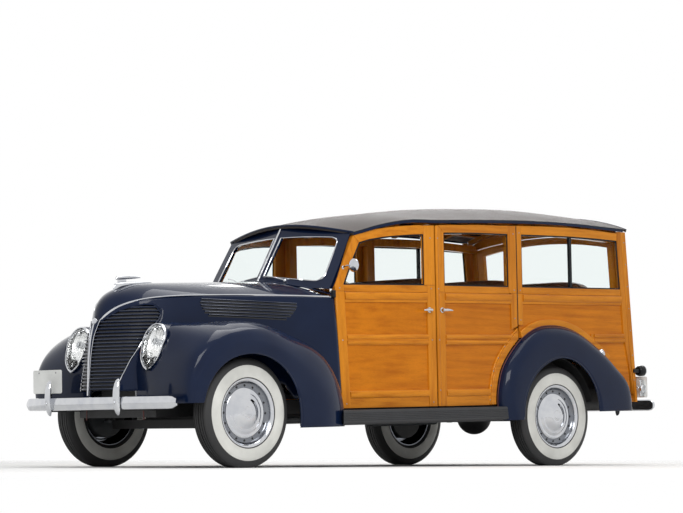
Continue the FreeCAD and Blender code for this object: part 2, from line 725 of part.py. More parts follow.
# ---------------------------------------------------------------- nose, hood sides and cowl
# across the nose at each height: centreline x, bend (x, y), half widths at the shoulder, side and cowl
NOSE = [
    (450, -664, -578, 190, 288, 386, 694),
    (640, -654, -568, 180, 280, 377, 682),
    (830, -634, -555, 168, 272, 369, 668),
    (960, -598, -535, 112, 252, 362, 655),
    (1090, -560, -505, 103, 218, 345, 642),
]
SHOULDER = -400
SIDE = -100
COWL = S.cowl_edge - 8


def nose_row(z):
    """The nose's measures at a height, read between the rows of NOSE."""
    columns = list(zip(*NOSE))
    return [along(list(zip(columns[0], column)), z) for column in columns[1:]]


def nose_half(x, z):
    """Half width of the nose and hood sides."""
    x_nose, x_bend, y_bend, y_shoulder, y_side, y_cowl = nose_row(z)
    shoulder = Vector(SHOULDER, y_shoulder, 0)
    if x >= SHOULDER:
        circle = Part.Arc(shoulder, Vector(SIDE, y_side, 0), Vector(COWL, y_cowl, 0))
    else:
        circle = Part.Arc(Vector(x_nose, 0, 0), Vector(x_bend, y_bend, 0), shoulder)
    curve = circle.toShape().Curve
    centre, radius = curve.Center, curve.Radius
    return centre.y + math.sqrt(max(0.0, radius ** 2 - (max(x, x_nose) - centre.x) ** 2))


def nose_wire(z, x_end, inset=0):
    x_nose, x_bend, y_bend, y_shoulder, y_side, _ = nose_row(z)
    y_end = nose_half(x_end, z) - inset
    nose = (x_nose + inset * 1.4, 0, z)
    left_bend = (x_bend + inset, -y_bend + inset * 0.5, z)
    left_shoulder = (SHOULDER, -y_shoulder + inset, z)
    right_bend = (left_bend[0], -left_bend[1], z)
    right_shoulder = (SHOULDER, y_shoulder - inset, z)
    left_side = (SIDE, -y_side + inset, z)
    right_side = (SIDE, y_side - inset, z)
    return wire((x_end, -y_end, z), (left_side, left_shoulder), (left_bend, nose),
                (right_bend, right_shoulder), (right_side, (x_end, y_end, z)))


def nose_body(x_end, inset=0):
    return loft([nose_wire(row[0], x_end, inset) for row in NOSE])


# the chrome strip's line, where the hood meets the sides: x, half width, strip z, crown z
HOOD = [
    (-588, 18, 938, 962),
    (-562, 60, 988, 1045),
    (-510, 115, 1036, 1110),
    (-430, 193, 1073, 1155),
    (-300, 263, 1096, 1190),
    (-100, 345, 1107, 1203),
    (350, 499, 1108, 1214),
    (885, 642, 1098, 1228),
]
half_hood_gap = S.hood_gap / 2


def strip_points(offset):
    return [(row[0], row[2] + offset) for row in HOOD]


def above_strip(offset, x_to):
    """All that lies above the strip's line, for trimming."""
    points = strip_points(offset)
    start = (points[0][0] - 120, points[0][1] - 30)
    return side_plate(-900, 900, start, *points[:-1], (x_to, points[-1][1]), (x_to, 1500), (start[0], 1500))


seam_x = S.firewall_x - 15
outer_nose = nose_body(seam_x)
nose_shell = outer_nose.cut(nose_body(seam_x + 5, S.panel)).cut(above_strip(-half_hood_gap, 1000))
nose_shell = nose_shell.cut(Part.makeBox(400, 1600, 400, Vector(40, -800, 0)).fuse(
    Part.makeBox(2000, 1600, S.apron_bottom, Vector(-330, -800, 0))))
grille_outline = [
    (-800, 505), (-590, 505), ((-500, 700), (-385, 880)), ((-345, 915), (-302, 960)),
    ((-290, 1015), (-325, 1048)), (-440, 1040), ((-520, 1005), (-575, 925)), (-800, 925),
]
grille_hole = side_plate(-900, 900, *grille_outline)
nose_panel = nose_shell.cut(grille_hole)
node("nose_panels", [shaped(nose_panel)])

# grille: a thin backing in the nose's own curve, with bars standing out of it
bars = []
bar_z = 505 + S.bar_pitch / 2
while bar_z < 1048 - S.bar_height:
    bars.append(Part.makeBox(600, 1000, S.bar_height, Vector(-750, -500, bar_z)))
    bar_z += S.bar_pitch
backing = nose_body(seam_x, S.panel * 0.55).cut(nose_body(seam_x + 5, S.panel))
proud = nose_body(seam_x, -3).cut(nose_body(seam_x + 5, S.panel * 0.8))
middle_strip = Part.makeBox(60, 12, 700, Vector(-700, -6, 400))
raised = proud.common(Part.makeCompound(bars + [middle_strip]))
grille = backing.fuse(raised.Solids).common(grille_hole)


def hood_section(row):
    x, half, z_strip, z_crown = row
    low = z_strip + half_hood_gap
    inner = half - S.panel if half > 3 * S.panel else half * 0.6
    drop = S.panel if z_crown - z_strip > 3 * S.panel else (z_crown - z_strip) * 0.4
    return wire((x, -half, low), ((x, 0, z_crown), (x, half, low)), (x, inner, low),
                ((x, 0, z_crown - drop), (x, -inner, low)))


def ahead_of_hood_edge(z_from, gap):
    """All that lies ahead of the hood's bowed rear edge, moved back by a gap."""
    side_x = S.hood_rear_side + gap
    half = HOOD[-1][1]
    return plan_plate(z_from, 1400, (-900, -900), (side_x, -900), (side_x, -half),
                      ((S.hood_rear_middle + gap, 0), (side_x, half)), (side_x, 900), (-900, 900))


hood = loft([hood_section(row) for row in HOOD])
hood = hood.common(ahead_of_hood_edge(800, 0))
node("hood", [shaped(hood)])

# cowl: side and top panels behind the hood, carrying the windscreen frame
def cowl_wire(x, inset, drop=None):
    """Across the cowl at x; drop is the crown below the hood's own, else the inset."""
    low, belt_z = 430, HOOD[-1][2]
    crown = along([(row[0], row[3]) for row in HOOD], x) - (inset if drop is None else drop)
    foot = nose_half(x, low) - inset
    shoulder = nose_half(x, 1090) - inset
    return wire((x, -foot, low), (x, -shoulder, belt_z), ((x, 0, crown), (x, shoulder, belt_z)),
                (x, foot, low))


outer_cowl = loft([cowl_wire(seam_x + 1, 0), cowl_wire(COWL, 0)])
cowl_shell = outer_cowl.cut(
    loft([cowl_wire(seam_x, S.panel), cowl_wire(COWL + 1, S.panel)]))
clear_hood = ahead_of_hood_edge(1000, S.hood_gap).common(above_strip(-half_hood_gap, 1000))
cowl_shell = cowl_shell.cut(clear_hood)


# the windscreen's two planes: x at a half width and a height
def screen_x(y, z):
    return 808 + 0.186 * abs(y) + 0.604 * (z - 1255)


def screen_plate(outline, depth, thickness):
    """A plate in the left windscreen plane from an outline of (half width, z)."""
    points = [(screen_x(y, z) + depth, -y, z) for y, z in outline]
    return Part.Face(wire(*points)).extrude(Vector(thickness, 0, 0))


frame_outline = [(0, 1196), (636, 1150), (604, 1525), (506, 1550), (320, 1575), (150, 1590), (0, 1594)]
pane_outline = [(20, 1257), (470, 1211), (522, 1218), (548, 1246), (533, 1452), (516, 1489), (474, 1506),
                (250, 1521), (34, 1523)]
slab = S.screen_slab / 0.85
frame_left = screen_plate(frame_outline, 0, slab).cut(screen_plate(pane_outline, -5, slab + 10))
door_zone = front_skin(-S.moving_gap, S.side_thick + S.moving_gap, front_stations, S.door_bottom - 5,
                       S.seam_top + 5)
door_zone = door_zone.common(side_plate(
    -900, -400, (S.cowl_edge, S.door_bottom), (S.post_seam, S.door_bottom), (S.post_seam, S.seam_top),
    (S.door_edge_top, S.front_top + 40), (S.door_edge_top, S.front_top), (S.cowl_edge, S.belt)))
frame_left = frame_left.cut(door_zone)
under_hood = S.panel + S.moving_gap
firewall = loft([cowl_wire(S.firewall_x + part, S.panel, under_hood) for part in (-4, 4)]).cut(
    Part.makeBox(100, 2000, floor_top + 1, Vector(S.firewall_x - 50, -1000, 0)))
cowl = cowl_shell.fuse([frame_left, mirrored(frame_left), firewall])
node("cowl", [shaped(cowl)])
pane_left = screen_plate(pane_outline, slab / 2 - 3, 6)
pair("windshield_glass", pane_left)

# roof: x, half width, inside edge z, outside crown z, thickness
ROOF = [
    (960, 560, 1502, 1603, 8),
    (S.door_edge_top, 626, S.front_top + 10, 1622, 10),
    (1265, 692, 1566, 1655, 18),
    (1480, 749, 1595, 1688, S.roof_thick),
    (S.post_seam, S.body_half + 6, S.seam_top + 10, 1712, S.roof_thick),
    (2100, S.body_half + 6, S.seam_top + 23, 1752, S.roof_thick),
    (S.rear_seam, S.body_half + 6, S.rear_seam_top + 10, 1772, S.roof_thick),
    (3000, S.body_half + 6, S.rear_seam_top + 10, 1779, S.roof_thick),
    (S.tail_x_top + S.roof_overhang, S.body_half + 6, S.tail_top + 10, 1740, S.roof_thick),
]


def roof_section(row):
    x, half, low, crown, thick = row
    edge = low + thick
    return wire((x, -half, low), (x, -half, edge), ((x, 0, crown), (x, half, edge)), (x, half, low),
                ((x, 0, crown - thick), (x, -half, low)))


roof = loft([roof_section(row) for row in ROOF])
roof = roof.common(plan_plate(1300, 2000, (4200, -1000), (1080, -1000), (1080, -640),
                              ((S.roof_front, 0), (1080, 640)), (1080, 1000), (4200, 1000)))
node("roof", [shaped(roof)])

# ---------------------------------------------------------------- headlights
LAMP_LOW = (-492, 640)
LAMP_LEAN = 0.318


def lamp_plate(grow, depth, thickness):
    """A plate of the headlight's teardrop outline, leaning back, on the left."""
    half = S.lamp_width / 2 + grow
    low = LAMP_LOW[1] - grow * 1.3
    wide = LAMP_LOW[1] + S.lamp_height * 0.62
    top = LAMP_LOW[1] + S.lamp_height + grow
    y = -S.lamp_half

    def lift(across, z):
        return (LAMP_LOW[0] + LAMP_LEAN * (z - LAMP_LOW[1]) + depth, y + across, z)

    bulge = mix(low, wide, 0.45)
    outline = wire(lift(0, low), (lift(half * 0.8, bulge), lift(half, wide)),
                   (lift(0, top), lift(-half, wide)), (lift(-half * 0.8, bulge), lift(0, low)))
    return Part.Face(outline).extrude(Vector(thickness, 0, 0))


rim = lamp_plate(S.lamp_rim, -6, 60).cut(lamp_plate(0, -20, 120))
lens = lamp_plate(0, 0, 54)
pair("headlights", rim.fuse(lens))

# ---------------------------------------------------------------- fenders
# angle about the hub, then radius and inset from the outside of: inner edge, crown, shoulder, side, lip
FRONT_FENDER = [
    (184, 455, 595, 480, 370, 470, 110, 440, 50, 400, 35),
    (160, 505, 620, 535, 370, 540, 95, 500, 28, 415, 10),
    (142, 590, 605, 600, 400, 578, 80, 500, 14, 410, 2),
    (127, 650, 565, 672, 410, 580, 65, 490, 8, 400, 0),
    (112, 610, 545, 622, 330, 562, 60, 482, 4, 388, 0),
    (100, 570, 505, 592, 290, 548, 60, 470, 4, 380, 0),
    (75, 500, 450, 594, 200, 556, 60, 465, 4, 376, 0),
    (50, 560, 385, 640, 165, 600, 62, 490, 4, 380, 0),
    (25, 745, 262, 790, 145, 742, 66, 570, 10, 390, 4),
    (5, 848, 200, 868, 138, 804, 64, 640, 10, 400, 12),
    (-16, 885, 200, 900, 138, 830, 68, 660, 14, 410, 16),
]


def fan_wire(hub_at, row, outer, thick):
    angle, *values = row
    pairs = list(zip(values[0::2], values[1::2]))

    def at(radius, inset):
        x, z = fender_point(hub_at, angle, radius)
        return (x, inset - outer, z)

    inner, crown, shoulder, flank, lip = pairs
    return wire(
        at(*inner), (at(*crown), at(*shoulder)), (at(*flank), at(*lip)),
        at(lip[0], lip[1] + thick),
        (at(flank[0] - thick * 0.2, flank[1] + thick),
         at(shoulder[0] - thick * 0.9, shoulder[1] + thick * 0.6)),
        (at(crown[0] - thick, crown[1]), at(inner[0] - thick, inner[1])),
    )


def evenly(table, count=17):
    """Rows at even steps of angle, on smooth curves through the columns of a table."""
    last = len(table) - 1
    rows = []
    for step in range(count):
        angle = mix(table[0][0], table[last][0], step / (count - 1))
        i = max(k for k in range(last) if table[k][0] >= angle)
        before, a, b, after = table[max(i - 1, 0)], table[i], table[i + 1], table[min(i + 2, last)]
        span = b[0] - a[0]
        part = (angle - a[0]) / span
        row = [angle]
        for column in range(1, len(a)):
            start = (b[column] - before[column]) / (b[0] - before[0]) * span
            end = (after[column] - a[column]) / (after[0] - a[0]) * span
            rise = b[column] - a[column]
            row.append(a[column] + start * part + (3 * rise - 2 * start - end) * part ** 2
                       + (start + end - 2 * rise) * part ** 3)
        rows.append(row)
    return rows


def fender(hub_at, table, outer, thick):
    sections = [fan_wire(hub_at, row, outer, thick) for row in evenly(table)]
    return loft(sections, ruled=False)


front_fender = fender(front_hub, FRONT_FENDER, S.body_half + S.front_fender_flare, S.panel)
for inside in (outer_nose, outer_cowl, nose_body(seam_x + 2)):
    front_fender = front_fender.cut(inside)


def below(x_from, x_to, z):
    """All on the left that lies under a height, between two stations."""
    return Part.makeBox(x_to - x_from, 1200, 400, Vector(x_from, -1200, z - 400))


behind_cowl = Part.makeBox(600, 600, 1200, Vector(COWL - 1, -1000, 0))
front_fender = front_fender.cut([below(-1000, 2000, S.fender_bottom),
                                 below(-1000, -300, S.fender_nose_bottom), behind_cowl])
front_fender = front_fender.cut(lamp_plate(S.lamp_rim, -6, 60))
pair("front_fenders", front_fender)
node("grille", [shaped(grille.cut(front_fender).cut(mirrored(front_fender)))])

flare = S.rear_fender_flare
REAR_FENDER = [
    (angle, radius, flare - 2, mix(radius, shoulder, 0.25), 0.51 * flare, shoulder, 0.13 * flare,
     mix(shoulder, lip, 0.4), 0.01 * flare, lip, 0)
    for angle, radius, shoulder, lip in REAR_ARCH
]
rear_fender = fender(rear_hub, REAR_FENDER, S.body_half + flare, S.panel)
rear_fender = rear_fender.cut([below(1500, 4500, S.fender_bottom + 10),
                               below(rear_hub[0], 4000, S.fender_tail_bottom)])
pair("rear_fenders", rear_fender)


# ---------------------------------------------------------------- tail and its gates
def tail_plate(outline, depth, thickness):
    """A plate in the leaning plane of the tail: its outline's points are (y, z)."""
    def lift(point):
        return (tail_x(point[1]) - depth, point[0], point[1])

    return Part.Face(wire(*lifted(outline, lift))).extrude(Vector(-thickness, 0, 0))


def gate_outline(half, low, high, rise):
    return [(-half, low), (half, low), (half, high), ((0, high + rise), (-half, high))]


gap = S.moving_gap / 2
tail_half = S.body_half - S.side_thick - 1
lift_top = S.tail_top - 40
frame_plate = tail_plate(gate_outline(tail_half, S.door_bottom, S.tail_top, 128), 0, S.gate_thick)
opening = gate_outline(S.tail_half + gap * 2, S.tailgate_bottom - gap * 2, lift_top + gap * 2, 60)
opening = tail_plate(opening, -20, S.gate_thick + 40)
node("tail_frame", [shaped(frame_plate.cut(opening))])
split = S.gate_split - gap
tailgate = tail_plate([(-S.tail_half, S.tailgate_bottom), (S.tail_half, S.tailgate_bottom),
                       (S.tail_half, split), (-S.tail_half, split)], 0, S.gate_thick)
node("tailgate", [shaped(tailgate)])
liftgate = tail_plate(gate_outline(S.tail_half, S.gate_split + gap, lift_top, 60), 0, S.gate_thick)
rear_pane = gate_outline(S.tail_half - 62, S.window_bottom + 8, lift_top - 45, 55)
node("liftgate", [shaped(liftgate.cut(tail_plate(rear_pane, -20, S.gate_thick + 40)))])
node("liftgate_glass", [shaped(tail_plate(rear_pane, S.pane_depth, S.pane))])


# ---------------------------------------------------------------- running boards and bumpers
foot_x = rear_arch(S.moving_gap)[0][0]
board_out = S.body_half + S.board_flare
board_low = S.board_top - S.board_thick
board_span = [
    (S.board_front, -board_out), (S.board_front + S.board_skew, -S.board_inner - 50),
    (S.board_front + S.board_skew, -S.board_inner), (foot_x, -S.board_inner), (foot_x, -S.body_half),
    (foot_x + S.board_tuck, -board_out),
]
plank = plan_plate(board_low, S.board_top, *board_span).cut([front_fender, rear_fender])
plank = max(plank.Solids, key=lambda solid: solid.Volume)


def board(side):
    """A running board between the fenders, with its brackets to the frame."""
    pieces = [shaped(plank if side < 0 else mirrored(plank))]
    for x in ("1000", "1550", "2150"):
        y = "-board_inner - 1" if side < 0 else "frame_half"
        pieces.append(box(x, y, "board_top - board_thick + 20", "50", "board_inner - frame_half + 1", "60"))
    return joined(pieces)


node("running_boards", [board(-1), board(1)])


def bumper_bar(nose_x, outward, z_middle, bow):
    """A bowed bar with two pointed guards: outward is -1 at the front of the car."""
    tip = nose_x - outward * bow
    low = z_middle - S.bumper_height / 2
    inner = -outward * S.bumper_thick
    half = S.bumper_half
    bar = plan_plate(low, low + S.bumper_height, (tip, -half), ((nose_x, 0), (tip, half)),
                     (tip + inner, half), ((nose_x + inner, 0), (tip + inner, -half)))
    middle = z_middle + 38
    reach = S.guard_height / 2
    guard_x = nose_x - outward * bow * (S.guard_half / half) ** 2
    for side in (-1, 1):
        y = side * S.guard_half - S.guard_width / 2
        face = guard_x + outward * S.guard_depth * 1.4
        guard = side_plate(
            y, y + S.guard_width, (guard_x + inner * 0.4, middle - reach), (guard_x, middle - reach),
            (face, middle - reach * 0.3), (face, middle + reach * 0.3), (guard_x, middle + reach),
            (guard_x + inner * 0.4, middle + reach))
        bar = bar.fuse(guard)
    return bar, guard_x + inner


front_bar, front_back = bumper_bar(-S.front_bumper_x, -1, S.front_bumper_z, S.bumper_bow)
irons = []
for side in (-1, 1):
    y = side * (S.frame_half - S.rail_width / 2) - 14
    irons.append(Part.makeBox(-S.frame_front - front_back + 12, 28, 34, Vector(front_back - 12, y, 374)))
plate_y = 415
strap_x = -S.front_bumper_x + S.bumper_bow * (plate_y / S.bumper_half) ** 2 + S.bumper_thick
strap = Part.makeBox(8, 60, 150, Vector(strap_x - 1, plate_y - 30, 440))
front_bumper = front_bar.fuse(irons + [strap])
node("front_bumper", [shaped(front_bumper)])
front_plate = Part.makeBox(S.plate_thick, S.plate_width, S.plate_height,
                           Vector(strap_x - 1 - S.plate_thick, plate_y - S.plate_width / 2, 494))

rear_bar, rear_back = bumper_bar(S.rear_bumper_x, 1, S.rear_bumper_z, S.rear_bumper_bow)
irons = []
for side in (-1, 1):
    y = side * (S.frame_half - S.rail_width / 2) - 14
    irons.append(Part.makeBox(rear_back + 8 - S.frame_rear, 28, 34, Vector(S.frame_rear, y, 320)))
node("rear_bumper", [shaped(rear_bar.fuse(irons))])

# tail lamp and plate on the left rear corner
lamp_y = -S.body_half + 5
lamp = Part.makeCylinder(40, 62, Vector(3772, lamp_y, 586), Vector(1, 0, 0))
arm = Part.makeBox(70, 14, 30, Vector(3710, -S.body_half - 14, 571))
node("tail_lamp", [shaped(lamp.fuse(arm))])
plate_arm = Part.makeBox(56, 40, 16, Vector(tail_x(516), -720, 516))
rear_plate = Part.makeBox(S.plate_thick, S.plate_width, S.plate_height,
                          Vector(3800, -690 - S.plate_width / 2, 392))
node("licence_plates", [shaped(front_plate), shaped(rear_plate.fuse(plate_arm))])

# ---------------------------------------------------------------- ornament and mirror
hood_fill = loft([wire((row[0], -row[1], row[2]), ((row[0], 0, row[3]), (row[0], row[1], row[2])))
                  for row in HOOD[2:]])
ornament = side_plate(-17, 17, (-446, 1140), (-448, 1192), (-400, 1204), (-138, 1214), (-130, 1140))
neck = side_plate(-7, 7, (-412, 1190), (-412, 1225), (-345, 1225), (-335, 1190))
wing = side_plate(-12, 12, (-424, 1217), ((-430, 1232), (-412, 1241)), ((-320, 1254), (-222, 1236)),
                  ((-320, 1221), (-424, 1217)))
ornament = ornament.fuse([neck, wing])
node("hood_ornament", [shaped(ornament.cut(hood_fill).cut(hood))])

mirror_foot = Vector(986, -half_width(986, 1294) + 4, 1294)
mirror_centre = Vector(980, -740, 1304)
reach = mirror_centre - mirror_foot
mirror_arm = Part.makeCylinder(7, reach.Length, mirror_foot, reach)
mirror_head = Part.makeCylinder(46, 24, mirror_centre - Vector(12, 0, 0), Vector(1, 0, 0))
mirror = mirror_arm.fuse(mirror_head).cut(front_door)
node("door_mirror", [shaped(mirror)])

# ---------------------------------------------------------------- inside
node("engine_block", [box("-150", "-210", "450", "670", "420", "450")])
node("radiator", [box("-395", "-205", "450", "55", "410", "560")])
node("fuel_tank", [box("frame_rear - 420", "-320", "frame_bottom - 80", "330", "640", "170")])
muffler = [
    rod("1620", "-200", "290", "60", "620", (0, 1, 0), 90),
    rod("530", "-200", "290", "22", "1100", (0, 1, 0), 90),
    rod("2230", "-200", "290", "20", "330", (0, 1, 0), 90),
]
node("exhaust", [joined(muffler)])


def bench(label, x, half, lift):
    """Base, cushion and leaning back."""
    top = floor_top + S.seat_height + lift
    back_low = top - S.seat_cushion
    base = Part.makeBox(400, 2 * half - 80, back_low - floor_top, Vector(x + 40, -half + 40, floor_top))
    cushion = Part.makeBox(510, 2 * half, S.seat_cushion, Vector(x, -half, back_low))
    lean = 0.2
    back_high = top + S.seat_back_height
    back = side_plate(
        -half, half, (x + 500, back_low), (x + 500 + S.seat_back, back_low),
        (x + 500 + S.seat_back + lean * S.seat_back_height, back_high),
        (x + 520 + lean * S.seat_back_height, back_high))
    node(label, [shaped(base.fuse([cushion, back]))])


bench("front_seat", 1330, S.seat_half, 0)
bench("middle_seat", 2090, S.seat_half - 30, 0)
bench("rear_seat", 2860, S.house_inner - 30, 0)

dash = Part.makeBox(26, 1130, 150, Vector(905, -565, 1010))
column_base = Vector(672, -S.driver_half, 742)
column_axis = Vector(math.cos(math.radians(30)), 0, math.sin(math.radians(30)))
column = Part.makeCylinder(22, 600, column_base, column_axis)
bracket = Part.makeBox(20, 30, 140, Vector(905, -S.driver_half - 15, 880))
node("dashboard", [shaped(dash.fuse([column, bracket]))])

# the steering wheel turns about the column
hub_start = column_base + column_axis * 606
wheel = Part.makeTorus(S.wheel_rim_radius, S.wheel_rim_tube, hub_start + column_axis * 30, column_axis)
wheel = wheel.fuse(Part.makeCylinder(34, 44, hub_start, column_axis))
for turn in (0, 120, 240):
    spoke = Part.makeBox(18, S.wheel_rim_radius, 9, Vector(-9, 0, 20))
    tilt = Rotation(Vector(0, 1, 0), 60).multiply(Rotation(Vector(0, 0, 1), turn - 90))
    spoke.Placement = Placement(hub_start, tilt)
    wheel = wheel.fuse(spoke)
node("steering_wheel", [shaped(wheel)])

# ---------------------------------------------------------------- origin, checks and files
doc.recompute()
by_label = {thing.Label: thing for thing in NODES}
front_end = by_label["front_bumper"].Shape.BoundBox.XMin
rear_end = by_label["rear_bumper"].Shape.BoundBox.XMax
sheet.set(CELLS["origin_shift"], str((front_end + rear_end) / 2))
doc.recompute()
for thing in doc.Objects:
    if "Invalid" in thing.State or "Error" in thing.State:
        raise RuntimeError(f"{thing.Name} failed: {thing.State}")
for thing in NODES:
    if thing.Shape.isNull() or not thing.Shape.isValid():
        raise RuntimeError(f"{thing.Label} has no valid shape")
    thing.Shape.exportStep(f"parts/{thing.Label}.step")
print("nodes", len(NODES), "origin shift", round(sheet.get("origin_shift"), 3))
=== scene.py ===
"""The looks of a late-1930s wood-bodied station wagon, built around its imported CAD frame.

Metres, with the front towards -X and the left side towards -Y. Most pieces are drawn in the body's own
frame, x behind the front axle and z above the road, and BODY turns them nose down and moves them into the
row frame. ROAD only moves them.
"""
import json
import math

import bmesh
import bpy
import numpy as np
from mathutils import Matrix, Vector

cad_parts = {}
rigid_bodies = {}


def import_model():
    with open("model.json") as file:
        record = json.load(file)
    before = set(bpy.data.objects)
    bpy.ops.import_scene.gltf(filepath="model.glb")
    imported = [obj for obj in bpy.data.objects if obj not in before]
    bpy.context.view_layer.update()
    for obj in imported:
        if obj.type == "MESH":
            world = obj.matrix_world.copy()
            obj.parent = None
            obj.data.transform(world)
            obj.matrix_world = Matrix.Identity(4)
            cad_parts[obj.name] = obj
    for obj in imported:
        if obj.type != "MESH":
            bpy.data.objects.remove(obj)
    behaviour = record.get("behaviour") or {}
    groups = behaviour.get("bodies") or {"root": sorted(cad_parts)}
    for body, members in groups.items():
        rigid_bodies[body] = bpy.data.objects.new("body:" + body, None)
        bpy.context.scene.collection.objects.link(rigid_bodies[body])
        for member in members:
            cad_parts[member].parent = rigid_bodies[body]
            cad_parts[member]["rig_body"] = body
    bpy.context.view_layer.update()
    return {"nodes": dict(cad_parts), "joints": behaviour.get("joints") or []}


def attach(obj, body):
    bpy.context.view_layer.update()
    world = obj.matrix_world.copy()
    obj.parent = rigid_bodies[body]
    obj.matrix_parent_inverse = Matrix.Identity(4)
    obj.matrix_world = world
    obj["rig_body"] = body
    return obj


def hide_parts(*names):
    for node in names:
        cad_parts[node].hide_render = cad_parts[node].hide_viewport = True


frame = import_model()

JOINTS = {joint["name"]: joint for joint in frame["joints"]}
SHIFT = -JOINTS["steer_left"]["pos_m"][0]
RAKE = math.radians(1.5)
ROAD = Matrix.Translation((-SHIFT, 0, 0))
BODY = ROAD @ Matrix.Rotation(-RAKE, 4, "Y")
HUB = JOINTS["roll_front_left"]["pos_m"][2]
WHEELBASE = JOINTS["roll_rear_left"]["pos_m"][0] + SHIFT
TRACK = {"front": -JOINTS["roll_front_left"]["pos_m"][1], "rear": -JOINTS["roll_rear_left"]["pos_m"][1]}
FRONT_HUB = BODY.inverted() @ ROAD @ Vector((0, 0, HUB))
REAR_HUB = BODY.inverted() @ ROAD @ Vector((WHEELBASE, 0, HUB))


# ---------------------------------------------------------------- materials
def material(name, color, roughness, metallic=0.0, slot="black", **sockets):
    made = bpy.data.materials.new(name)
    made.use_nodes = True
    shader = made.node_tree.nodes["Principled BSDF"]
    values = {"Base_Color": (*color, 1), "Roughness": roughness, "Metallic": metallic, **sockets}
    for key, value in values.items():
        shader.inputs[key.replace("_", " ")].default_value = value
    made["slot"] = slot
    return made


def add(owner, kind, settings=None, **inputs):
    """A shader node: inputs are sockets to link or values to set, by the input's name or place."""
    made = owner.node_tree.nodes.new("ShaderNode" + kind)
    for key, value in (settings or {}).items():
        setattr(made, key, value)
    for key, value in inputs.items():
        socket = made.inputs[int(key[1:])] if key[1:].isdigit() else made.inputs[key]
        if isinstance(value, bpy.types.NodeSocket):
            owner.node_tree.links.new(value, socket)
        else:
            socket.default_value = value
    return made


def noise(mat, scale, stretch=(1, 1, 1), detail=3, tone=None):
    """Noise over the object's own coordinates, shifted by a board's tone where there is one."""
    place = add(mat, "TexCoord").outputs["Object"]
    if tone:
        moved = add(mat, "VectorMath", {"operation": "SCALE"}, i0=(3.1, 1.7, 2.3))
        mat.node_tree.links.new(tone, moved.inputs["Scale"])
        place = add(mat, "VectorMath", {"operation": "ADD"}, i0=place, i1=moved.outputs[0]).outputs[0]
    mapped = add(mat, "Mapping", Vector=place, Scale=stretch).outputs[0]
    return add(mat, "TexNoise", Vector=mapped, Scale=scale, Detail=detail).outputs["Fac"]


def ramp(mat, value, stops):
    made = add(mat, "ValToRGB", Fac=value)
    bar = made.color_ramp
    while len(bar.elements) < len(stops):
        bar.elements.new(0.5)
    for element, (place, color) in zip(bar.elements, stops):
        element.position = place
        element.color = (*color, 1)
    return made.outputs["Color"]


def combine(mat, a, b, share, mode="MULTIPLY"):
    made = add(mat, "Mix", {"data_type": "RGBA", "blend_type": mode}, i0=share, i6=a, i7=b)
    return made.outputs[2]


def wire_up(mat, color=None, height=None, roughness=None, depth=0.0005, strength=0.5):
    shader = mat.node_tree.nodes["Principled BSDF"]
    links = mat.node_tree.links
    if color:
        links.new(color, shader.inputs["Base Color"])
    if roughness:
        links.new(roughness, shader.inputs["Roughness"])
    if height:
        bump = add(mat, "Bump", Height=height, Distance=depth, Strength=strength)
        links.new(bump.outputs[0], shader.inputs["Normal"])
    return mat


def spread(mat, value, low, high):
    return add(mat, "MapRange", Value=value, i3=low, i4=high).outputs[0]


def wood(name, light, dark, grain):
    """Varnished boards: long streaks along the grain, fine pores, each board its own tone."""
    mat = material(name, light, 0.40, slot="wood", Coat_Weight=0.5, Coat_Roughness=0.06, Coat_IOR=1.24,
                   Specular_IOR_Level=0.08)
    along = {"x": (0.05, 1, 1), "y": (1, 0.05, 1), "z": (1, 1, 0.05)}[grain]
    tone = add(mat, "Attribute", {"attribute_name": "tone"}).outputs["Fac"]
    streaks = noise(mat, 34, along, 5, tone)
    cloud = noise(mat, 3.2, (1, 1, 1), 2, tone)
    pores = noise(mat, 420, along, 2)
    base = ramp(mat, streaks, [(0.26, dark), (0.5, light), (0.76, tuple(c * 1.15 for c in light))])
    clouded = combine(mat, base, ramp(mat, cloud, [(0.3, (0.84, 0.80, 0.72)), (0.62, (1, 1, 1))]), 0.7)
    toned = combine(mat, clouded, ramp(mat, tone, [(0, (0.86, 0.82, 0.76)), (1, (1.0, 1.0, 1.0))]), 1.0)
    fine = combine(mat, toned, ramp(mat, pores, [(0.36, (0.74, 0.66, 0.56)), (0.48, (1, 1, 1))]), 0.4)
    return wire_up(mat, fine, streaks, spread(mat, pores, 0.26, 0.42), 0.0006, 0.25)


def paint(name, color, slot="paint", rough=0.30):
    mat = material(name, color, rough, 0.0, slot, Coat_Weight=1.0, Coat_Roughness=0.03, Coat_IOR=1.24,
                   Specular_IOR_Level=0.04)
    peel = noise(mat, 900, detail=1)
    haze = noise(mat, 5, detail=3)
    tint = combine(mat, (*color, 1), ramp(mat, haze, [(0.3, (0.82, 0.84, 0.9)), (0.7, (1.1, 1.1, 1.1))]), 1.0)
    return wire_up(mat, tint, peel, None, 0.00004, 0.12)


def metal(name, color, rough, slot="chrome", grime=0.05):
    mat = material(name, color, rough, 1.0, slot)
    wipe = noise(mat, 14, detail=5)
    fine = noise(mat, 260, detail=2)
    wiped = combine(mat, (*color, 1), ramp(mat, wipe, [(0.35, (0.86, 0.87, 0.9)), (0.6, (1, 1, 1))]), 0.8)
    return wire_up(mat, wiped, fine, spread(mat, wipe, rough, rough + grime), 0.00003, 0.1)


def dull(name, color, rough, slot, scale=180, depth=0.0006, strength=0.4, spot=0.5):
    """A matt surface with fine tooth, such as rubber, cast iron, cloth or undercoat."""
    mat = material(name, color, rough, 0.0, slot)
    grain = noise(mat, scale, detail=4)
    patch = noise(mat, 6, detail=4)
    low = tuple(1 - spot for _ in color)
    tint = combine(mat, (*color, 1), ramp(mat, patch, [(0.3, low), (0.7, (1.15, 1.15, 1.15))]), 1.0)
    return wire_up(mat, tint, grain, spread(mat, patch, rough - 0.12, min(1.0, rough + 0.1)), depth, strength)


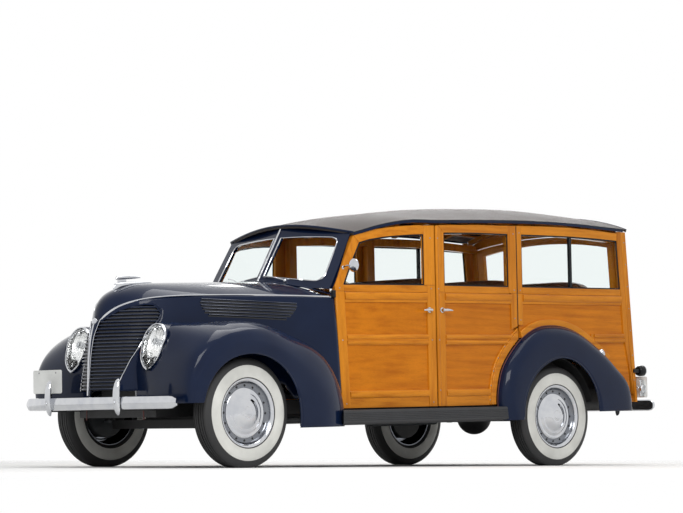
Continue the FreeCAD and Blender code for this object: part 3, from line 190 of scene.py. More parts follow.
LIGHT, DARK = (0.66, 0.240, 0.016), (0.50, 0.155, 0.008)
PANEL, PANEL_DARK = (0.60, 0.190, 0.006), (0.48, 0.135, 0.003)
FINISH = {
    "navy": paint("navy", (0.0042, 0.0105, 0.034)),
    "black_gloss": paint("black_gloss", (0.010, 0.011, 0.013), "black", 0.35),
    "frame_x": wood("frame_x", LIGHT, DARK, "x"),
    "frame_y": wood("frame_y", LIGHT, DARK, "y"),
    "frame_z": wood("frame_z", LIGHT, DARK, "z"),
    "panel_x": wood("panel_x", PANEL, PANEL_DARK, "x"),
    "panel_y": wood("panel_y", PANEL, PANEL_DARK, "y"),
    "chrome": metal("chrome", (0.60, 0.61, 0.63), 0.05),
    "dark_chrome": metal("dark_chrome", (0.20, 0.21, 0.23), 0.12),
    "mirror_face": metal("mirror_face", (0.9, 0.9, 0.9), 0.01, grime=0.01),
    "steel": metal("steel", (0.32, 0.32, 0.33), 0.32, "black", 0.2),
    "tyre": dull("tyre", (0.018, 0.018, 0.019), 0.62, "tyre", 240, 0.0008, 0.35, 0.3),
    "whitewall": dull("whitewall", (0.62, 0.62, 0.585), 0.5, "tyre", 160, 0.0004, 0.25, 0.12),
    "rubber": dull("rubber", (0.022, 0.023, 0.026), 0.5, "rubber", 300, 0.0005, 0.3, 0.3),
    "seam": dull("seam", (0.10, 0.022, 0.018), 0.5, "rubber", 300, 0.0003, 0.3, 0.3),
    "roof_cloth": dull("roof_cloth", (0.060, 0.050, 0.046), 0.62, "roof_cloth", 700, 0.0012, 0.6, 0.22),
    "frame_black": dull("frame_black", (0.014, 0.014, 0.015), 0.55, "black", 60, 0.0015, 0.35, 0.4),
    "iron": dull("iron", (0.05, 0.055, 0.06), 0.6, "iron", 90, 0.002, 0.5, 0.4),
    # painted shade: a near-black finish for sheets and dots put where slots, holes and wells lie in shade
    "recess": dull("recess", (0.004, 0.004, 0.005), 0.6, "black", 200, 0.0003, 0.2, 0.2),
    "leather": dull("leather", (0.105, 0.044, 0.020), 0.48, "leather", 380, 0.0012, 0.55, 0.35),
    "liner": dull("liner", (0.075, 0.030, 0.010), 0.6, "wood", 90, 0.0008, 0.3, 0.3),
    "carpet": dull("carpet", (0.035, 0.028, 0.024), 0.95, "black", 900, 0.004, 0.9, 0.4),
    "plate": dull("plate", (0.78, 0.79, 0.77), 0.4, "plate", 60, 0.0004, 0.2, 0.06),
    "cream": paint("cream", (0.60, 0.50, 0.33), "cream", 0.3),
    "dial": paint("dial", (0.42, 0.36, 0.26), "cream", 0.4),
}
FINISH["glass"] = wire_up(
    material("glass", (0.93, 0.96, 0.955), 0.0, slot="glass", Transmission_Weight=1.0, IOR=1.05))
FINISH["lens"] = material("lens", (0.95, 0.96, 0.95), 0.03, slot="glass", Transmission_Weight=1.0, IOR=1.35)
FINISH["red_lens"] = material("red_lens", (0.45, 0.012, 0.008), 0.12, slot="glass", Coat_Weight=1.0)


# ---------------------------------------------------------------- making pieces
def piece(name, body, finish, shape, place=BODY, sharp=35, bevel=0.0, thick=0.0, tones=None, weld=True):
    """A mesh piece in the row frame that rides on a CAD body."""
    verts, faces = shape
    mesh = bpy.data.meshes.new(name)
    mesh.from_pydata([place @ Vector(vert) for vert in verts], [], faces)
    if tones:
        layer = mesh.attributes.new("tone", "FLOAT", "POINT")
        layer.data.foreach_set("value", tones)
    bm = bmesh.new()
    bm.from_mesh(mesh)
    if weld:
        bmesh.ops.remove_doubles(bm, verts=bm.verts, dist=1e-5)
    bmesh.ops.recalc_face_normals(bm, faces=bm.faces)
    bm.to_mesh(mesh)
    bm.free()
    mesh.materials.append(FINISH[finish])
    mesh.shade_smooth()
    mesh.set_sharp_from_angle(angle=math.radians(sharp))
    made = bpy.data.objects.new(name, mesh)
    bpy.context.scene.collection.objects.link(made)
    if thick:
        shell = made.modifiers.new("Thickness", "SOLIDIFY")
        shell.thickness = abs(thick)
        shell.offset = -1 if thick > 0 else 1
    if bevel:
        edge = made.modifiers.new("Edges", "BEVEL")
        edge.width = bevel
        edge.segments = 2
        edge.limit_method = "ANGLE"
        edge.harden_normals = False
    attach(made, body)
    return made


def flipped(shape):
    verts, faces = shape
    return [(x, -y, z) for x, y, z in verts], [tuple(reversed(face)) for face in faces]


def twins(name, body, finish, shape, **more):
    """A left-hand piece and its mirror image; body names ending in _ get the side's name."""
    made = []
    for side in ("left", "right"):
        owner = body + side if body.endswith("_") else body
        made.append(piece(f"{name}_{side}", owner, finish, shape, **more))
        shape = flipped(shape)
    return made


def gather(*shapes):
    """Several shapes as one."""
    verts, faces = [], []
    for part_verts, part_faces in shapes:
        start = len(verts)
        verts += [tuple(vert) for vert in part_verts]
        faces += [tuple(start + i for i in face) for face in part_faces]
    return verts, faces


def box(low, high):
    verts = [(x, y, z) for x in (low[0], high[0]) for y in (low[1], high[1]) for z in (low[2], high[2])]
    return verts, [(0, 1, 3, 2), (4, 6, 7, 5), (0, 4, 5, 1), (2, 3, 7, 6), (0, 2, 6, 4), (1, 5, 7, 3)]


def rings(loops, closed=True, capped=True):
    """Faces between successive loops of the same number of points."""
    count = len(loops[0])
    verts = [tuple(point) for loop in loops for point in loop]
    faces = []
    last = count if closed else count - 1
    for row in range(len(loops) - 1):
        for i in range(last):
            a, b = row * count + i, row * count + (i + 1) % count
            faces.append((a, b, b + count, a + count))
    if closed and capped:
        faces.append(tuple(range(count))[::-1])
        faces.append(tuple(range(len(verts) - count, len(verts))))
    return verts, faces


def spline(points, count):
    """Points on a smooth curve through the given ones."""
    p = np.array(points, float)
    p = np.vstack([2 * p[0] - p[1], p, 2 * p[-1] - p[-2]])
    places = np.linspace(0, len(points) - 1, count)
    out = []
    for place in places:
        i = min(int(place), len(points) - 2)
        t = place - i
        a, b, c, d = p[i:i + 4]
        out.append(0.5 * (2 * b + (c - a) * t + (2 * a - 5 * b + 4 * c - d) * t * t
                          + (3 * b - a - 3 * c + d) * t ** 3))
    return np.array(out)


def read(table, x):
    """The values of a table's row at x, smoothly between its rows."""
    places = [row[0] for row in table]
    i = max(0, min(len(table) - 2, int(np.searchsorted(places, x)) - 1))
    t = (x - places[i]) / (places[i + 1] - places[i])
    before, after = table[max(i - 1, 0)], table[min(i + 2, len(table) - 1)]
    a, b = table[i], table[i + 1]
    step = b[0] - a[0]
    out = []
    for k in range(1, len(a)):
        rise = b[k] - a[k]
        into = step * (b[k] - before[k]) / (b[0] - before[0]) if before is not a else rise
        leave = step * (after[k] - a[k]) / (after[0] - a[0]) if after is not b else rise
        out.append((2 * t ** 3 - 3 * t ** 2 + 1) * a[k] + (t ** 3 - 2 * t ** 2 + t) * into
                   + (3 * t ** 2 - 2 * t ** 3) * b[k] + (t ** 3 - t ** 2) * leave)
    return out


def sweep(path, section, up=(0, 0, 1), capped=True):
    """A section of (across, above) points carried along a path."""
    path = [Vector(point) for point in path]
    loops = []
    across = None
    for i, point in enumerate(path):
        run = (path[min(i + 1, len(path) - 1)] - path[max(i - 1, 0)]).normalized()
        turned = run.cross(Vector(up))
        if across and turned.length < 0.3:
            turned = across - run * across.dot(run)
        if across and turned.dot(across) < 0:
            turned.negate()
        across = turned.normalized()
        above = across.cross(run)
        loops.append([point + across * a + above * b for a, b in section])
    return rings(loops, True, capped)


def turns(count):
    """Angles evenly round a full turn."""
    return np.linspace(0, math.tau, count + 1)[:-1]


def circle(radius, count=10):
    return [(radius * math.cos(a), radius * math.sin(a)) for a in turns(count)]


def tube(path, radius, count=10):
    path = [Vector(point) for point in path]
    span = path[-1] - path[0]
    up = (0, 0, 1) if abs(span.z) < 0.9 * span.length else (1, 0, 0)
    return sweep(path, circle(radius, count), up)


def lathe(profile, centre=(0, 0, 0), axis=(0, 1, 0), count=72, closed=False):
    """A profile of (radius, along) points turned about an axis."""
    axis = Vector(axis).normalized()
    side = axis.orthogonal().normalized()
    spokes = [side * x + axis.cross(side) * y for x, y in circle(1, count)]
    loops = [[Vector(centre) + axis * along + spoke * max(radius, 1e-4) for spoke in spokes]
             for radius, along in profile]
    return rings(loops + loops[:1] if closed else loops, capped=False)


def lerp(a, b, share):
    return a + (b - a) * share


def cut_at(shape, point, normal, clear=False):
    """A shape with an edge where a plane crosses it; clear drops what lies ahead of the plane."""
    verts, faces = shape
    bm = bmesh.new()
    made = [bm.verts.new(vert) for vert in verts]
    for face in faces:
        if len(set(face)) == len(face):
            bm.faces.new([made[i] for i in face])
    bmesh.ops.bisect_plane(bm, geom=bm.verts[:] + bm.edges[:] + bm.faces[:], plane_co=point, plane_no=normal,
                           clear_outer=clear)
    bm.verts.index_update()
    verts = [tuple(vert.co) for vert in bm.verts]
    faces = [tuple(vert.index for vert in face.verts) for face in bm.faces]
    bm.free()
    return verts, faces


def prism(outline, surface, outer, inner, stations=()):
    """A board: an outline of (u, v) between two depths, laid on surface(u, v, depth)."""
    shape = rings([[(u, outer, v) for u, v in outline], [(u, inner, v) for u, v in outline]])
    for axis, at in stations:
        normal = (1, 0, 0) if axis == "u" else (0, 0, 1)
        shape = cut_at(shape, [n * at for n in normal], normal)
    verts, faces = shape
    return [surface(u, v, depth) for u, depth, v in verts], faces


def oblong(u_low, u_high, v_low, v_high):
    return [(u_low, v_low), (u_high, v_low), (u_high, v_high), (u_low, v_high)]


def inlaid(name, body, finish, shapes, tone_step, tone_start, bevel, mirrored):
    """Shapes side by side as one piece, each in a tone of its own."""
    tones = []
    for i, (verts, _) in enumerate(shapes):
        tones += [(tone_step * i + tone_start * len(name)) % 1.0] * len(verts)
    maker = twins if mirrored else piece
    return maker(name, body, finish, gather(*shapes), bevel=bevel, tones=tones, weld=False)


def boards(name, body, finish, rows, surface, stations=(), bevel=0.0022, mirrored=True):
    """Boards laid on a surface: rows of (outer depth, inner depth, outline)."""
    shapes = [prism(outline, surface, outer, inner, stations) for outer, inner, outline in rows]
    return inlaid(name, body, finish, shapes, 0.37, 0.61, bevel, mirrored)


def strips(name, body, finish, rows, count=12):
    """Mouldings laid on the body's side: rows of (path of (u, v), width, proud, shape)."""
    shapes = [moulding(*row, side, count) for row in rows]
    return inlaid(name, body, finish, shapes, 0.43, 0.29, 0.0, True)


def moulding(path, width, proud, form, surface, count=12):
    """A strip along a path of (u, v): "round" is half round, "flat" has a square section."""
    if len(path) > 2:
        points = spline(path, count)
    else:
        points = [lerp(np.array(path[0]), np.array(path[1]), i / (count - 1)) for i in range(count)]
    flat = [Vector((u, 0, v)) for u, v in points]
    if form == "round":
        section = [(math.cos(a), math.sin(a)) for a in np.linspace(-math.pi / 2, math.pi / 2, 9)]
        section = [(proud * c - 0.002 if abs(s) < 0.999 else -0.006, width / 2 * s) for c, s in section]
    else:
        section = [(-0.006, -width / 2), (proud, -width / 2), (proud, width / 2), (-0.006, width / 2)]
    loops = []
    for i, point in enumerate(flat):
        run = (flat[min(i + 1, len(flat) - 1)] - flat[max(i - 1, 0)]).normalized()
        across = Vector((-run.z, 0, run.x))
        loops.append([surface((point + across * b).x, (point + across * b).z, -a) for a, b in section])
    return rings(loops)


def studs(points, surface=None, radius=0.0045, proud=0.0):
    """Screw heads on a surface, slightly domed."""
    shapes = []
    for u, v in points:
        loops = []
        for share, rise in ((1, -0.002), (1, 0.0008), (0.7, 0.0018), (0.1, 0.0022)):
            loops.append([(surface or side)(u + a, v + b, -proud - rise) for a, b in circle(radius * share)])
        shapes.append(rings(loops))
    return gather(*shapes)


# ---------------------------------------------------------------- the forms that the solids have too
# across the nose at each height: z, centreline x, bend (x, y), half widths at the shoulder, side and cowl
NOSE = [
    (0.450, -0.664, -0.578, 0.190, 0.288, 0.386, 0.694),
    (0.640, -0.654, -0.568, 0.180, 0.280, 0.377, 0.682),
    (0.830, -0.634, -0.555, 0.168, 0.272, 0.369, 0.668),
    (0.960, -0.598, -0.535, 0.112, 0.252, 0.362, 0.655),
    (1.090, -0.560, -0.505, 0.103, 0.218, 0.345, 0.642),
]
SHOULDER, SIDE_X, COWL = -0.4, -0.1, 0.877
NOSE_TOP = 1.12
# the hood: x, half width, height of its chrome strip, height of its crown
HOOD = [
    (-0.588, 0.018, 0.938, 0.962),
    (-0.562, 0.060, 0.988, 1.045),
    (-0.510, 0.115, 1.036, 1.110),
    (-0.430, 0.193, 1.073, 1.155),
    (-0.300, 0.263, 1.096, 1.190),
    (-0.100, 0.345, 1.107, 1.203),
    (0.350, 0.499, 1.108, 1.214),
    (0.885, 0.642, 1.098, 1.228),
]
# the roof: x, half width, height of its edge, height of its crown
ROOF = [
    (0.960, 0.560, 1.510, 1.603),
    (1.091, 0.626, 1.533, 1.622),
    (1.265, 0.692, 1.584, 1.655),
    (1.480, 0.749, 1.621, 1.688),
    (1.703, 0.791, 1.624, 1.712),
    (2.100, 0.791, 1.637, 1.752),
    (2.508, 0.791, 1.646, 1.772),
    (3.000, 0.791, 1.646, 1.779),
    (3.706, 0.791, 1.614, 1.740),
]
# fenders: angle about the hub, then radius and inset of the inner edge, crown, shoulder, side and lip
FRONT_FENDER = [
    (-16, 0.885, 0.200, 0.900, 0.138, 0.830, 0.068, 0.660, 0.014, 0.410, 0.016),
    (5, 0.848, 0.200, 0.868, 0.138, 0.804, 0.064, 0.640, 0.010, 0.400, 0.012),
    (25, 0.745, 0.262, 0.790, 0.145, 0.742, 0.066, 0.570, 0.010, 0.390, 0.004),
    (50, 0.560, 0.385, 0.640, 0.165, 0.600, 0.062, 0.490, 0.004, 0.380, 0.000),
    (75, 0.500, 0.450, 0.594, 0.200, 0.556, 0.060, 0.465, 0.004, 0.376, 0.000),
    (100, 0.570, 0.505, 0.592, 0.290, 0.548, 0.060, 0.470, 0.004, 0.380, 0.000),
    (112, 0.610, 0.545, 0.622, 0.330, 0.562, 0.060, 0.482, 0.004, 0.388, 0.000),
    (127, 0.650, 0.565, 0.672, 0.410, 0.580, 0.065, 0.490, 0.008, 0.400, 0.000),
    (142, 0.590, 0.605, 0.600, 0.400, 0.578, 0.080, 0.500, 0.014, 0.410, 0.002),
    (160, 0.505, 0.620, 0.535, 0.370, 0.540, 0.095, 0.500, 0.028, 0.415, 0.010),
    (184, 0.455, 0.595, 0.480, 0.370, 0.470, 0.110, 0.440, 0.050, 0.400, 0.035),
]
# the rear fender by angle about the rear hub: radius against the body, at the shoulder and at the lip
REAR_ARCH = [
    (2, 0.800, 0.742, 0.396),
    (16, 0.792, 0.734, 0.400),
    (30, 0.716, 0.658, 0.405),
    (50, 0.654, 0.596, 0.410),
    (70, 0.640, 0.582, 0.414),
    (90, 0.637, 0.579, 0.412),
    (104, 0.641, 0.583, 0.405),
    (118, 0.633, 0.575, 0.400),
    (133, 0.622, 0.564, 0.398),
    (148, 0.617, 0.559, 0.396),
    (157, 0.602, 0.544, 0.395),
    (166, 0.588, 0.527, 0.394),
    (175, 0.572, 0.500, 0.393),
    (184, 0.566, 0.478, 0.392),
]
REAR_FENDER = [
    (angle, radius, 0.088, lerp(radius, shoulder, 0.25), 0.046, shoulder, 0.012,
     lerp(shoulder, lip, 0.4), 0.001, lip, 0.0)
    for angle, radius, shoulder, lip in REAR_ARCH
]


BODY_HALF, POST_X, DOOR_LENGTH = 0.785, 1.703, 0.81
TAIL_FOOT_X, TAIL_TOP_X, TAIL_FOOT_Z, TAIL_HEIGHT = 3.757, 3.664, 0.36, 1.218


def half_width(x, z):
    """Outside of the body: the front doors narrow towards the cowl and lean in above the belt."""
    if x >= POST_X:
        return BODY_HALF
    at_cowl = float(np.interp(z, [0.36, 1.168, 1.588], [0.700, 0.645, 0.501]))
    span = (POST_X - x) / DOOR_LENGTH
    return BODY_HALF - (BODY_HALF - at_cowl) * span * (0.35 + 0.65 * span)


def side(x, z, depth=0.0):
    """A place on the left side, below its outside face by depth."""
    return (x, depth - half_width(x, z), z)


def tail_x(z):
    return lerp(TAIL_FOOT_X, TAIL_TOP_X, (z - TAIL_FOOT_Z) / TAIL_HEIGHT)


def tail(y, z, depth=0.0):
    return (tail_x(z) - depth, y, z)


def circle_through(a, b, c):
    """Centre x, centre y and radius of the circle through three points of a plan."""
    sides = np.array([[b[0] - a[0], b[1] - a[1]], [c[0] - a[0], c[1] - a[1]]]) * 2
    squares = [b[0] ** 2 + b[1] ** 2 - a[0] ** 2 - a[1] ** 2, c[0] ** 2 + c[1] ** 2 - a[0] ** 2 - a[1] ** 2]
    x, y = np.linalg.solve(sides, squares)
    return x, y, math.hypot(x - a[0], y - a[1])


def nose_half(x, z):
    """Half width of the nose and the hood's sides: one circle to the shoulder, another to the cowl."""
    x_nose, x_bend, y_bend, y_shoulder, y_side, y_cowl = read(NOSE, min(z, NOSE_TOP))
    if x >= SHOULDER:
        arc = circle_through((SHOULDER, y_shoulder), (SIDE_X, y_side), (COWL, y_cowl))
    else:
        arc = circle_through((x_nose, 0), (x_bend, y_bend), (SHOULDER, y_shoulder))
    centre_x, centre_y, radius = arc
    return centre_y + math.sqrt(max(0.0, radius ** 2 - (max(x, x_nose) - centre_x) ** 2))


def nose_side(x, z, depth=0.0):
    return (x, depth - nose_half(x, z), z)


def nose_x(z):
    return read(NOSE, min(z, NOSE_TOP))[0]


def nose_path(z, x_from, x_to, out=0.0, count=30):
    """Points round the left of the nose at a height, from one x back to another, pushed out."""
    start = max(x_from, nose_x(z))
    line = [lerp(start, x_to, s * s) for s in np.linspace(0, 1, count * 3)]
    line = [(x, nose_half(x, z)) for x in line]
    if start == nose_x(z):
        line = [(x, y - line[0][1]) for x, y in line]
    pushed = []
    for i, (x, y) in enumerate(line):
        ahead, behind = line[min(i + 1, len(line) - 1)], line[max(i - 1, 0)]
        run = Vector((ahead[0] - behind[0], ahead[1] - behind[1])).normalized()
        pushed.append(Vector((x - run.y * out, y + run.x * out)))
    steps = np.cumsum([0.0] + [(b - a).length for a, b in zip(pushed, pushed[1:])])
    even = np.linspace(0, steps[-1], count)
    xs, ys = np.interp(even, steps, [p.x for p in pushed]), np.interp(even, steps, [p.y for p in pushed])
    return [(float(x), -max(0.0, float(y)), z) for x, y in zip(xs, ys)]


def strip_z(x):
    return read(HOOD, x)[1]


def arc_height(half, low, crown, y):
    """Height at y of an arc from its low ends, half a width out, up to its crown."""
    rise = crown - low
    radius = (half * half + rise * rise) / (2 * rise)
    return crown - radius + math.sqrt(max(0.0, radius * radius - y * y))


def hood_z(x, y):
    return arc_height(*read(HOOD, x), y)


def fan(hub, table, outer, along=64, across=26, grow=0.0):
    """A fender's surface on the left, as loops from one end of its table to the other."""
    loops = []
    for angle in np.linspace(table[0][0], table[-1][0], along):
        values = read(table, angle)
        turn = math.radians(angle)
        points = [(hub.x + (radius + grow) * math.cos(turn), inset - outer - grow,
                   hub.z + (radius + grow) * math.sin(turn))
                  for radius, inset in zip(values[0::2], values[1::2])]
        loops.append([tuple(point) for point in spline(points, across)])
    return loops


def arch(clear, start, end, count=18, x_limit=9.0, low=0.0):
    """Points (x, z) round the rear fender's outline, pushed out by a clearance."""
    points = []
    for angle in np.linspace(start, end, count):
        radius = read(REAR_ARCH, angle)[0] + clear
        turn = math.radians(angle)
        points.append((min(REAR_HUB.x + radius * math.cos(turn), x_limit),
                       max(REAR_HUB.z + radius * math.sin(turn), low)))
    return points


def arch_x(z, clear):
    points = arch(clear, 184, 95, 120)
    return float(np.interp(z, [point[1] for point in points], [point[0] for point in points]))


# ---------------------------------------------------------------- wheels
WHEELS = [("front_left", 0.0, -TRACK["front"]), ("front_right", 0.0, TRACK["front"]),
          ("rear_left", WHEELBASE, -TRACK["rear"]), ("rear_right", WHEELBASE, TRACK["rear"])]
SIDEWALL = [(0.207, 0.062), (0.216, 0.071), (0.226, 0.0745)]
WHITEWALL = [(0.226, 0.0745), (0.232, 0.0762), (0.250, 0.0782), (0.272, 0.0790), (0.290, 0.0770),
             (0.300, 0.0745), (0.303, 0.0732)]
SHOULDER_LINE = [(0.303, 0.0732), (0.306, 0.0745), (0.312, 0.0725), (0.328, 0.0665), (0.338, 0.0615),
                 (0.346, 0.0545), (0.3495, 0.049)]
TREAD = [(0.3500, 0.046), (0.3435, 0.0445), (0.3435, 0.041), (0.3505, 0.0395), (0.3512, 0.026),
         (0.3440, 0.0245), (0.3440, 0.021), (0.3515, 0.0195), (0.3518, 0.0055), (0.3445, 0.004),
         (0.3445, 0.0)]
RIM = [(0.199, -0.062), (0.207, -0.062), (0.2205, -0.068), (0.2215, -0.064), (0.209, -0.057), (0.203, -0.045),
       (0.203, 0.045), (0.209, 0.057), (0.2205, 0.064), (0.2217, 0.069)]
DISC = [(0.1995, 0.0615), (0.196, 0.054), (0.190, 0.040), (0.180, 0.0355), (0.165, 0.0375), (0.150, 0.0385),
        (0.134, 0.0365), (0.120, 0.036)]
TRIM_RING = [(0.2216, 0.0685), (0.2205, 0.0715), (0.217, 0.0725), (0.211, 0.0710), (0.206, 0.0665),
             (0.2015, 0.0630), (0.1985, 0.0600), (0.1985, 0.058)]
CAP = [(0.158, 0.0360), (0.160, 0.0410), (0.155, 0.0445), (0.147, 0.0455), (0.139, 0.0440), (0.133, 0.0450),
       (0.126, 0.0485), (0.119, 0.0515), (0.112, 0.0525), (0.106, 0.0520), (0.100, 0.0535), (0.084, 0.0640),
       (0.064, 0.0725), (0.044, 0.0775), (0.0405, 0.0775), (0.037, 0.0762), (0.030, 0.0780), (0.015, 0.0797),
       (0.0, 0.0800)]
BORE = [(0.199, -0.062), (0.199, 0.045), (0.1995, 0.0615)]
SLOT = [(0.0085, 0.0005), (0.0075, 0.0018), (0.004, 0.0022), (0.0, 0.0024)]
DRUM = [(0.022, 0.030), (0.120, 0.030), (0.148, 0.029), (0.150, 0.024), (0.150, 0.004), (0.146, 0.002),
        (0.146, -0.002), (0.150, -0.004), (0.150, -0.022), (0.144, -0.024), (0.142, 0.022), (0.022, 0.024)]


def on_road(shape):
    """The tyre's flat where it stands."""
    verts, faces = shape
    return [(x, y, max(z, 0.0)) for x, y, z in verts], faces


def other_side(profile):
    return [(radius, -along) for radius, along in profile]


for label, x, y in WHEELS:
    body = "wheel_" + label
    out = 1 if y > 0 else -1
    centre, outward = (x, y, HUB), (0, out, 0)

    def turned(count, *profiles, **more):
        return gather(*(lathe(profile, centre, outward, count, **more) for profile in profiles))

    def on_face(radius, along, angle):
        return x + radius * math.cos(angle), y + out * along, HUB + radius * math.sin(angle)

    half_tread = SHOULDER_LINE + TREAD
    tread = half_tread + other_side(half_tread[:-1])[::-1]
    tyre = piece("tyre_" + label + "_rubber", body, "tyre", on_road(gather(
        turned(144, tread), turned(96, SIDEWALL, other_side(SIDEWALL)))), ROAD, sharp=28)
    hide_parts("tyre_" + label)
    piece("tyre_" + label + "_whitewall", body, "whitewall", on_road(gather(
        turned(128, WHITEWALL), turned(96, other_side(WHITEWALL)))), ROAD, sharp=50)
    wheel = piece("wheel_" + label + "_disc", body, "dark_chrome", turned(96, RIM, BORE, DISC), ROAD, sharp=50)
    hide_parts("wheel_" + label)
    trim = gather(turned(128, TRIM_RING), turned(96, CAP))
    piece("wheel_" + label + "_trim", body, "chrome", trim, ROAD, sharp=50)
    # painted shade: near-black domes on the disc stand in for the shade inside its slots
    slot_shades = [lathe(SLOT, on_face(0.174, 0.0358, angle), outward, 10) for angle in turns(16)]
    piece("wheel_" + label + "_slots", body, "recess", gather(*slot_shades), ROAD)
    nuts = [tube([on_face(0.07, 0.030, angle), on_face(0.07, 0.044, angle)], 0.011, 6) for angle in turns(5)]
    drum = gather(turned(72, DRUM, closed=True), *nuts)
    piece("wheel_" + label + "_drum", body, "iron", drum, ROAD, bevel=0.0012)

# ---------------------------------------------------------------- doors and side panels
DOOR_STATIONS = [("u", x) for x in np.arange(0.93, 1.70, 0.07)] + [("v", 1.168)]
ROOF_LINE = [(1.097, 1.513), (1.181, 1.541), (1.274, 1.560), (1.370, 1.571), (1.469, 1.580), (1.573, 1.586),
             (1.699, 1.588)]
FRONT_GLASS_TOP = [(1.124, 1.463), (1.20, 1.487), (1.28, 1.501), (1.37, 1.511), (1.50, 1.521), (1.611, 1.526)]
OUT, BACK = 0.0, 0.034
SILL, PANEL_LOW = 0.361, 0.363
# the rails between posts: depth of the outer face, low and high edge
RAILS = [(0.001, 1.131, 1.178), (0.001, 1.062, 1.130), (0.002, 0.776, 0.848), (0.003, SILL, 0.475)]
# the beads on them: height at either end, width, how far they stand out
BEADS = [(1.104, 1.104, 0.050, 0.013), (0.830, 0.832, 0.028, 0.010), (0.794, 0.793, 0.028, 0.010),
         (0.450, 0.450, 0.046, 0.009)]


def door_frame(name, posts, head, ends, stations=()):
    """The posts, head and rails of a left and a right door; ends are those of each rail in x."""
    posts = [(OUT, BACK, post) for post in posts]
    made = boards(name + "_frame", name + "_", "frame_z", posts, side, stations)
    for node_side, frame_piece in zip(("left", "right"), made):
        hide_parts(name + "_" + node_side)
    rails = [(depth, BACK, oblong(*end, low, high)) for end, (depth, low, high) in zip(ends, RAILS)]
    boards(name + "_rails", name + "_", "frame_x", [(OUT, BACK, head), *rails], side, stations)


def belt(name, ends, count=12):
    """Half-round beads along a door's rails; ends are the first, middle and last x of each."""
    rows = [([(first, z), (middle, z), (last, z_last)], width, proud, "round")
            for (first, middle, last), (z, z_last, width, proud) in zip(ends, BEADS)]
    strips(name + "_belt", name + "_", "frame_x", rows, count)


door_frame("door_front", [
    oblong(0.900, 0.965, SILL, 1.135),
    [(0.900, 1.136), (0.965, 1.136), (0.965, 1.184), (1.128, 1.465), (1.097, 1.511), (0.900, 1.168)],
    oblong(1.626, 1.698, SILL, 1.180),
    [(1.605, 1.181), (1.698, 1.181), (1.698, 1.587), (1.612, 1.584)],
], [(1.098, 1.512), (1.129, 1.466)] + FRONT_GLASS_TOP[1:] + [(1.611, 1.584)] + ROOF_LINE[5:0:-1],
    [(0.966, 1.625)] * 4, DOOR_STATIONS)
panels = [(0.010, 0.024, oblong(0.960, 1.630, *heights)) for heights in ((0.840, 1.070), (0.470, 0.782))]
boards("door_front_panels", "door_front_", "panel_x", panels, side, DOOR_STATIONS, bevel=0.0)
belt("door_front", [(0.967, 1.30, 1.624)] + [(0.966, 1.30, 1.625)] * 3, 24)
screws = [(0.932, z) for z in (0.39, 0.81, 1.157)] + [(1.662, z) for z in (0.39, 0.81, 1.157, 1.50)]
twins("door_front_screws", "door_front_", "steel", studs(screws))

rear_panel = [(1.745, PANEL_LOW), *arch(0.030, 172, 121.5, 20, 2.47, PANEL_LOW), (2.47, 1.10), (1.745, 1.10)]
door_frame("door_rear", [
    oblong(1.736, 1.790, SILL, 1.135),
    [(2.443, 1.135), (2.443, arch(0.06, 118, 118, 1)[0][1]), (2.503, 0.905), (2.503, 1.135)],
    [(1.736, 1.136), (1.788, 1.136), (1.788, 1.540), (1.736, 1.589)],
    [(2.424, 1.136), (2.503, 1.136), (2.503, 1.608), (2.424, 1.606)],
], [(1.738, 1.590), (1.789, 1.541), (2.10, 1.549), (2.423, 1.548), (2.423, 1.606), (2.10, 1.603)],
    [(1.789, 2.423), (1.791, 2.442), (1.791, arch_x(0.81, 0.03)), (1.791, arch_x(0.42, 0.03))])
boards("door_rear_panel", "door_rear_", "panel_x", [(0.010, 0.018, rear_panel)], side, bevel=0.0)
arch_band = arch(0.016, 172, 122.3, 26, 2.503, PANEL_LOW) + arch(0.066, 119.9, 171.8, 26, 2.503, PANEL_LOW)
inner_band = arch(0.066, 171.8, 119.9, 26, 2.503, PANEL_LOW) + arch(0.080, 119.2, 171.6, 26, 2.503, PANEL_LOW)
bands = [(-0.006, 0.018, arch_band), (-0.001, 0.016, inner_band)]
boards("door_rear_arch", "door_rear_", "frame_x", bands, side, bevel=0.004)
belt("door_rear", [(1.792, 2.10, 2.441), *((1.791, 2.00, arch_x(z, 0.07)) for z in (0.83, 0.794, 0.45))])
SEAM_X, QUARTER_X = 1.7215, 2.5086
strips("door_rear_seam_strip", "door_rear_", "frame_z",
       [([(SEAM_X, PANEL_LOW), (SEAM_X, 1.0), (SEAM_X, 1.586)], 0.028, 0.009, "round")])
band_screws = arch(0.073, 169, 122, 12)[::2]
screws = [(2.475, z) for z in (0.96, 1.157, 1.55)] + band_screws
twins("door_rear_screws", "door_rear_", "steel", gather(
    studs(screws, proud=0.001), studs([(SEAM_X, z) for z in (0.47, 0.81, 1.157, 1.50)], proud=0.0075)))

fender_line = arch(0.004, 119.5, 8, 36, low=PANEL_LOW)
quarter_panel = [(2.53, 1.10), (2.53, fender_line[0][1]), *fender_line, (3.645, PANEL_LOW), (3.69, PANEL_LOW),
                 (tail_x(1.10) - 0.04, 1.10)]


def corner(z, inset):
    """x of a place on the side at a height, ahead of the tail by an inset."""
    return tail_x(z) - inset


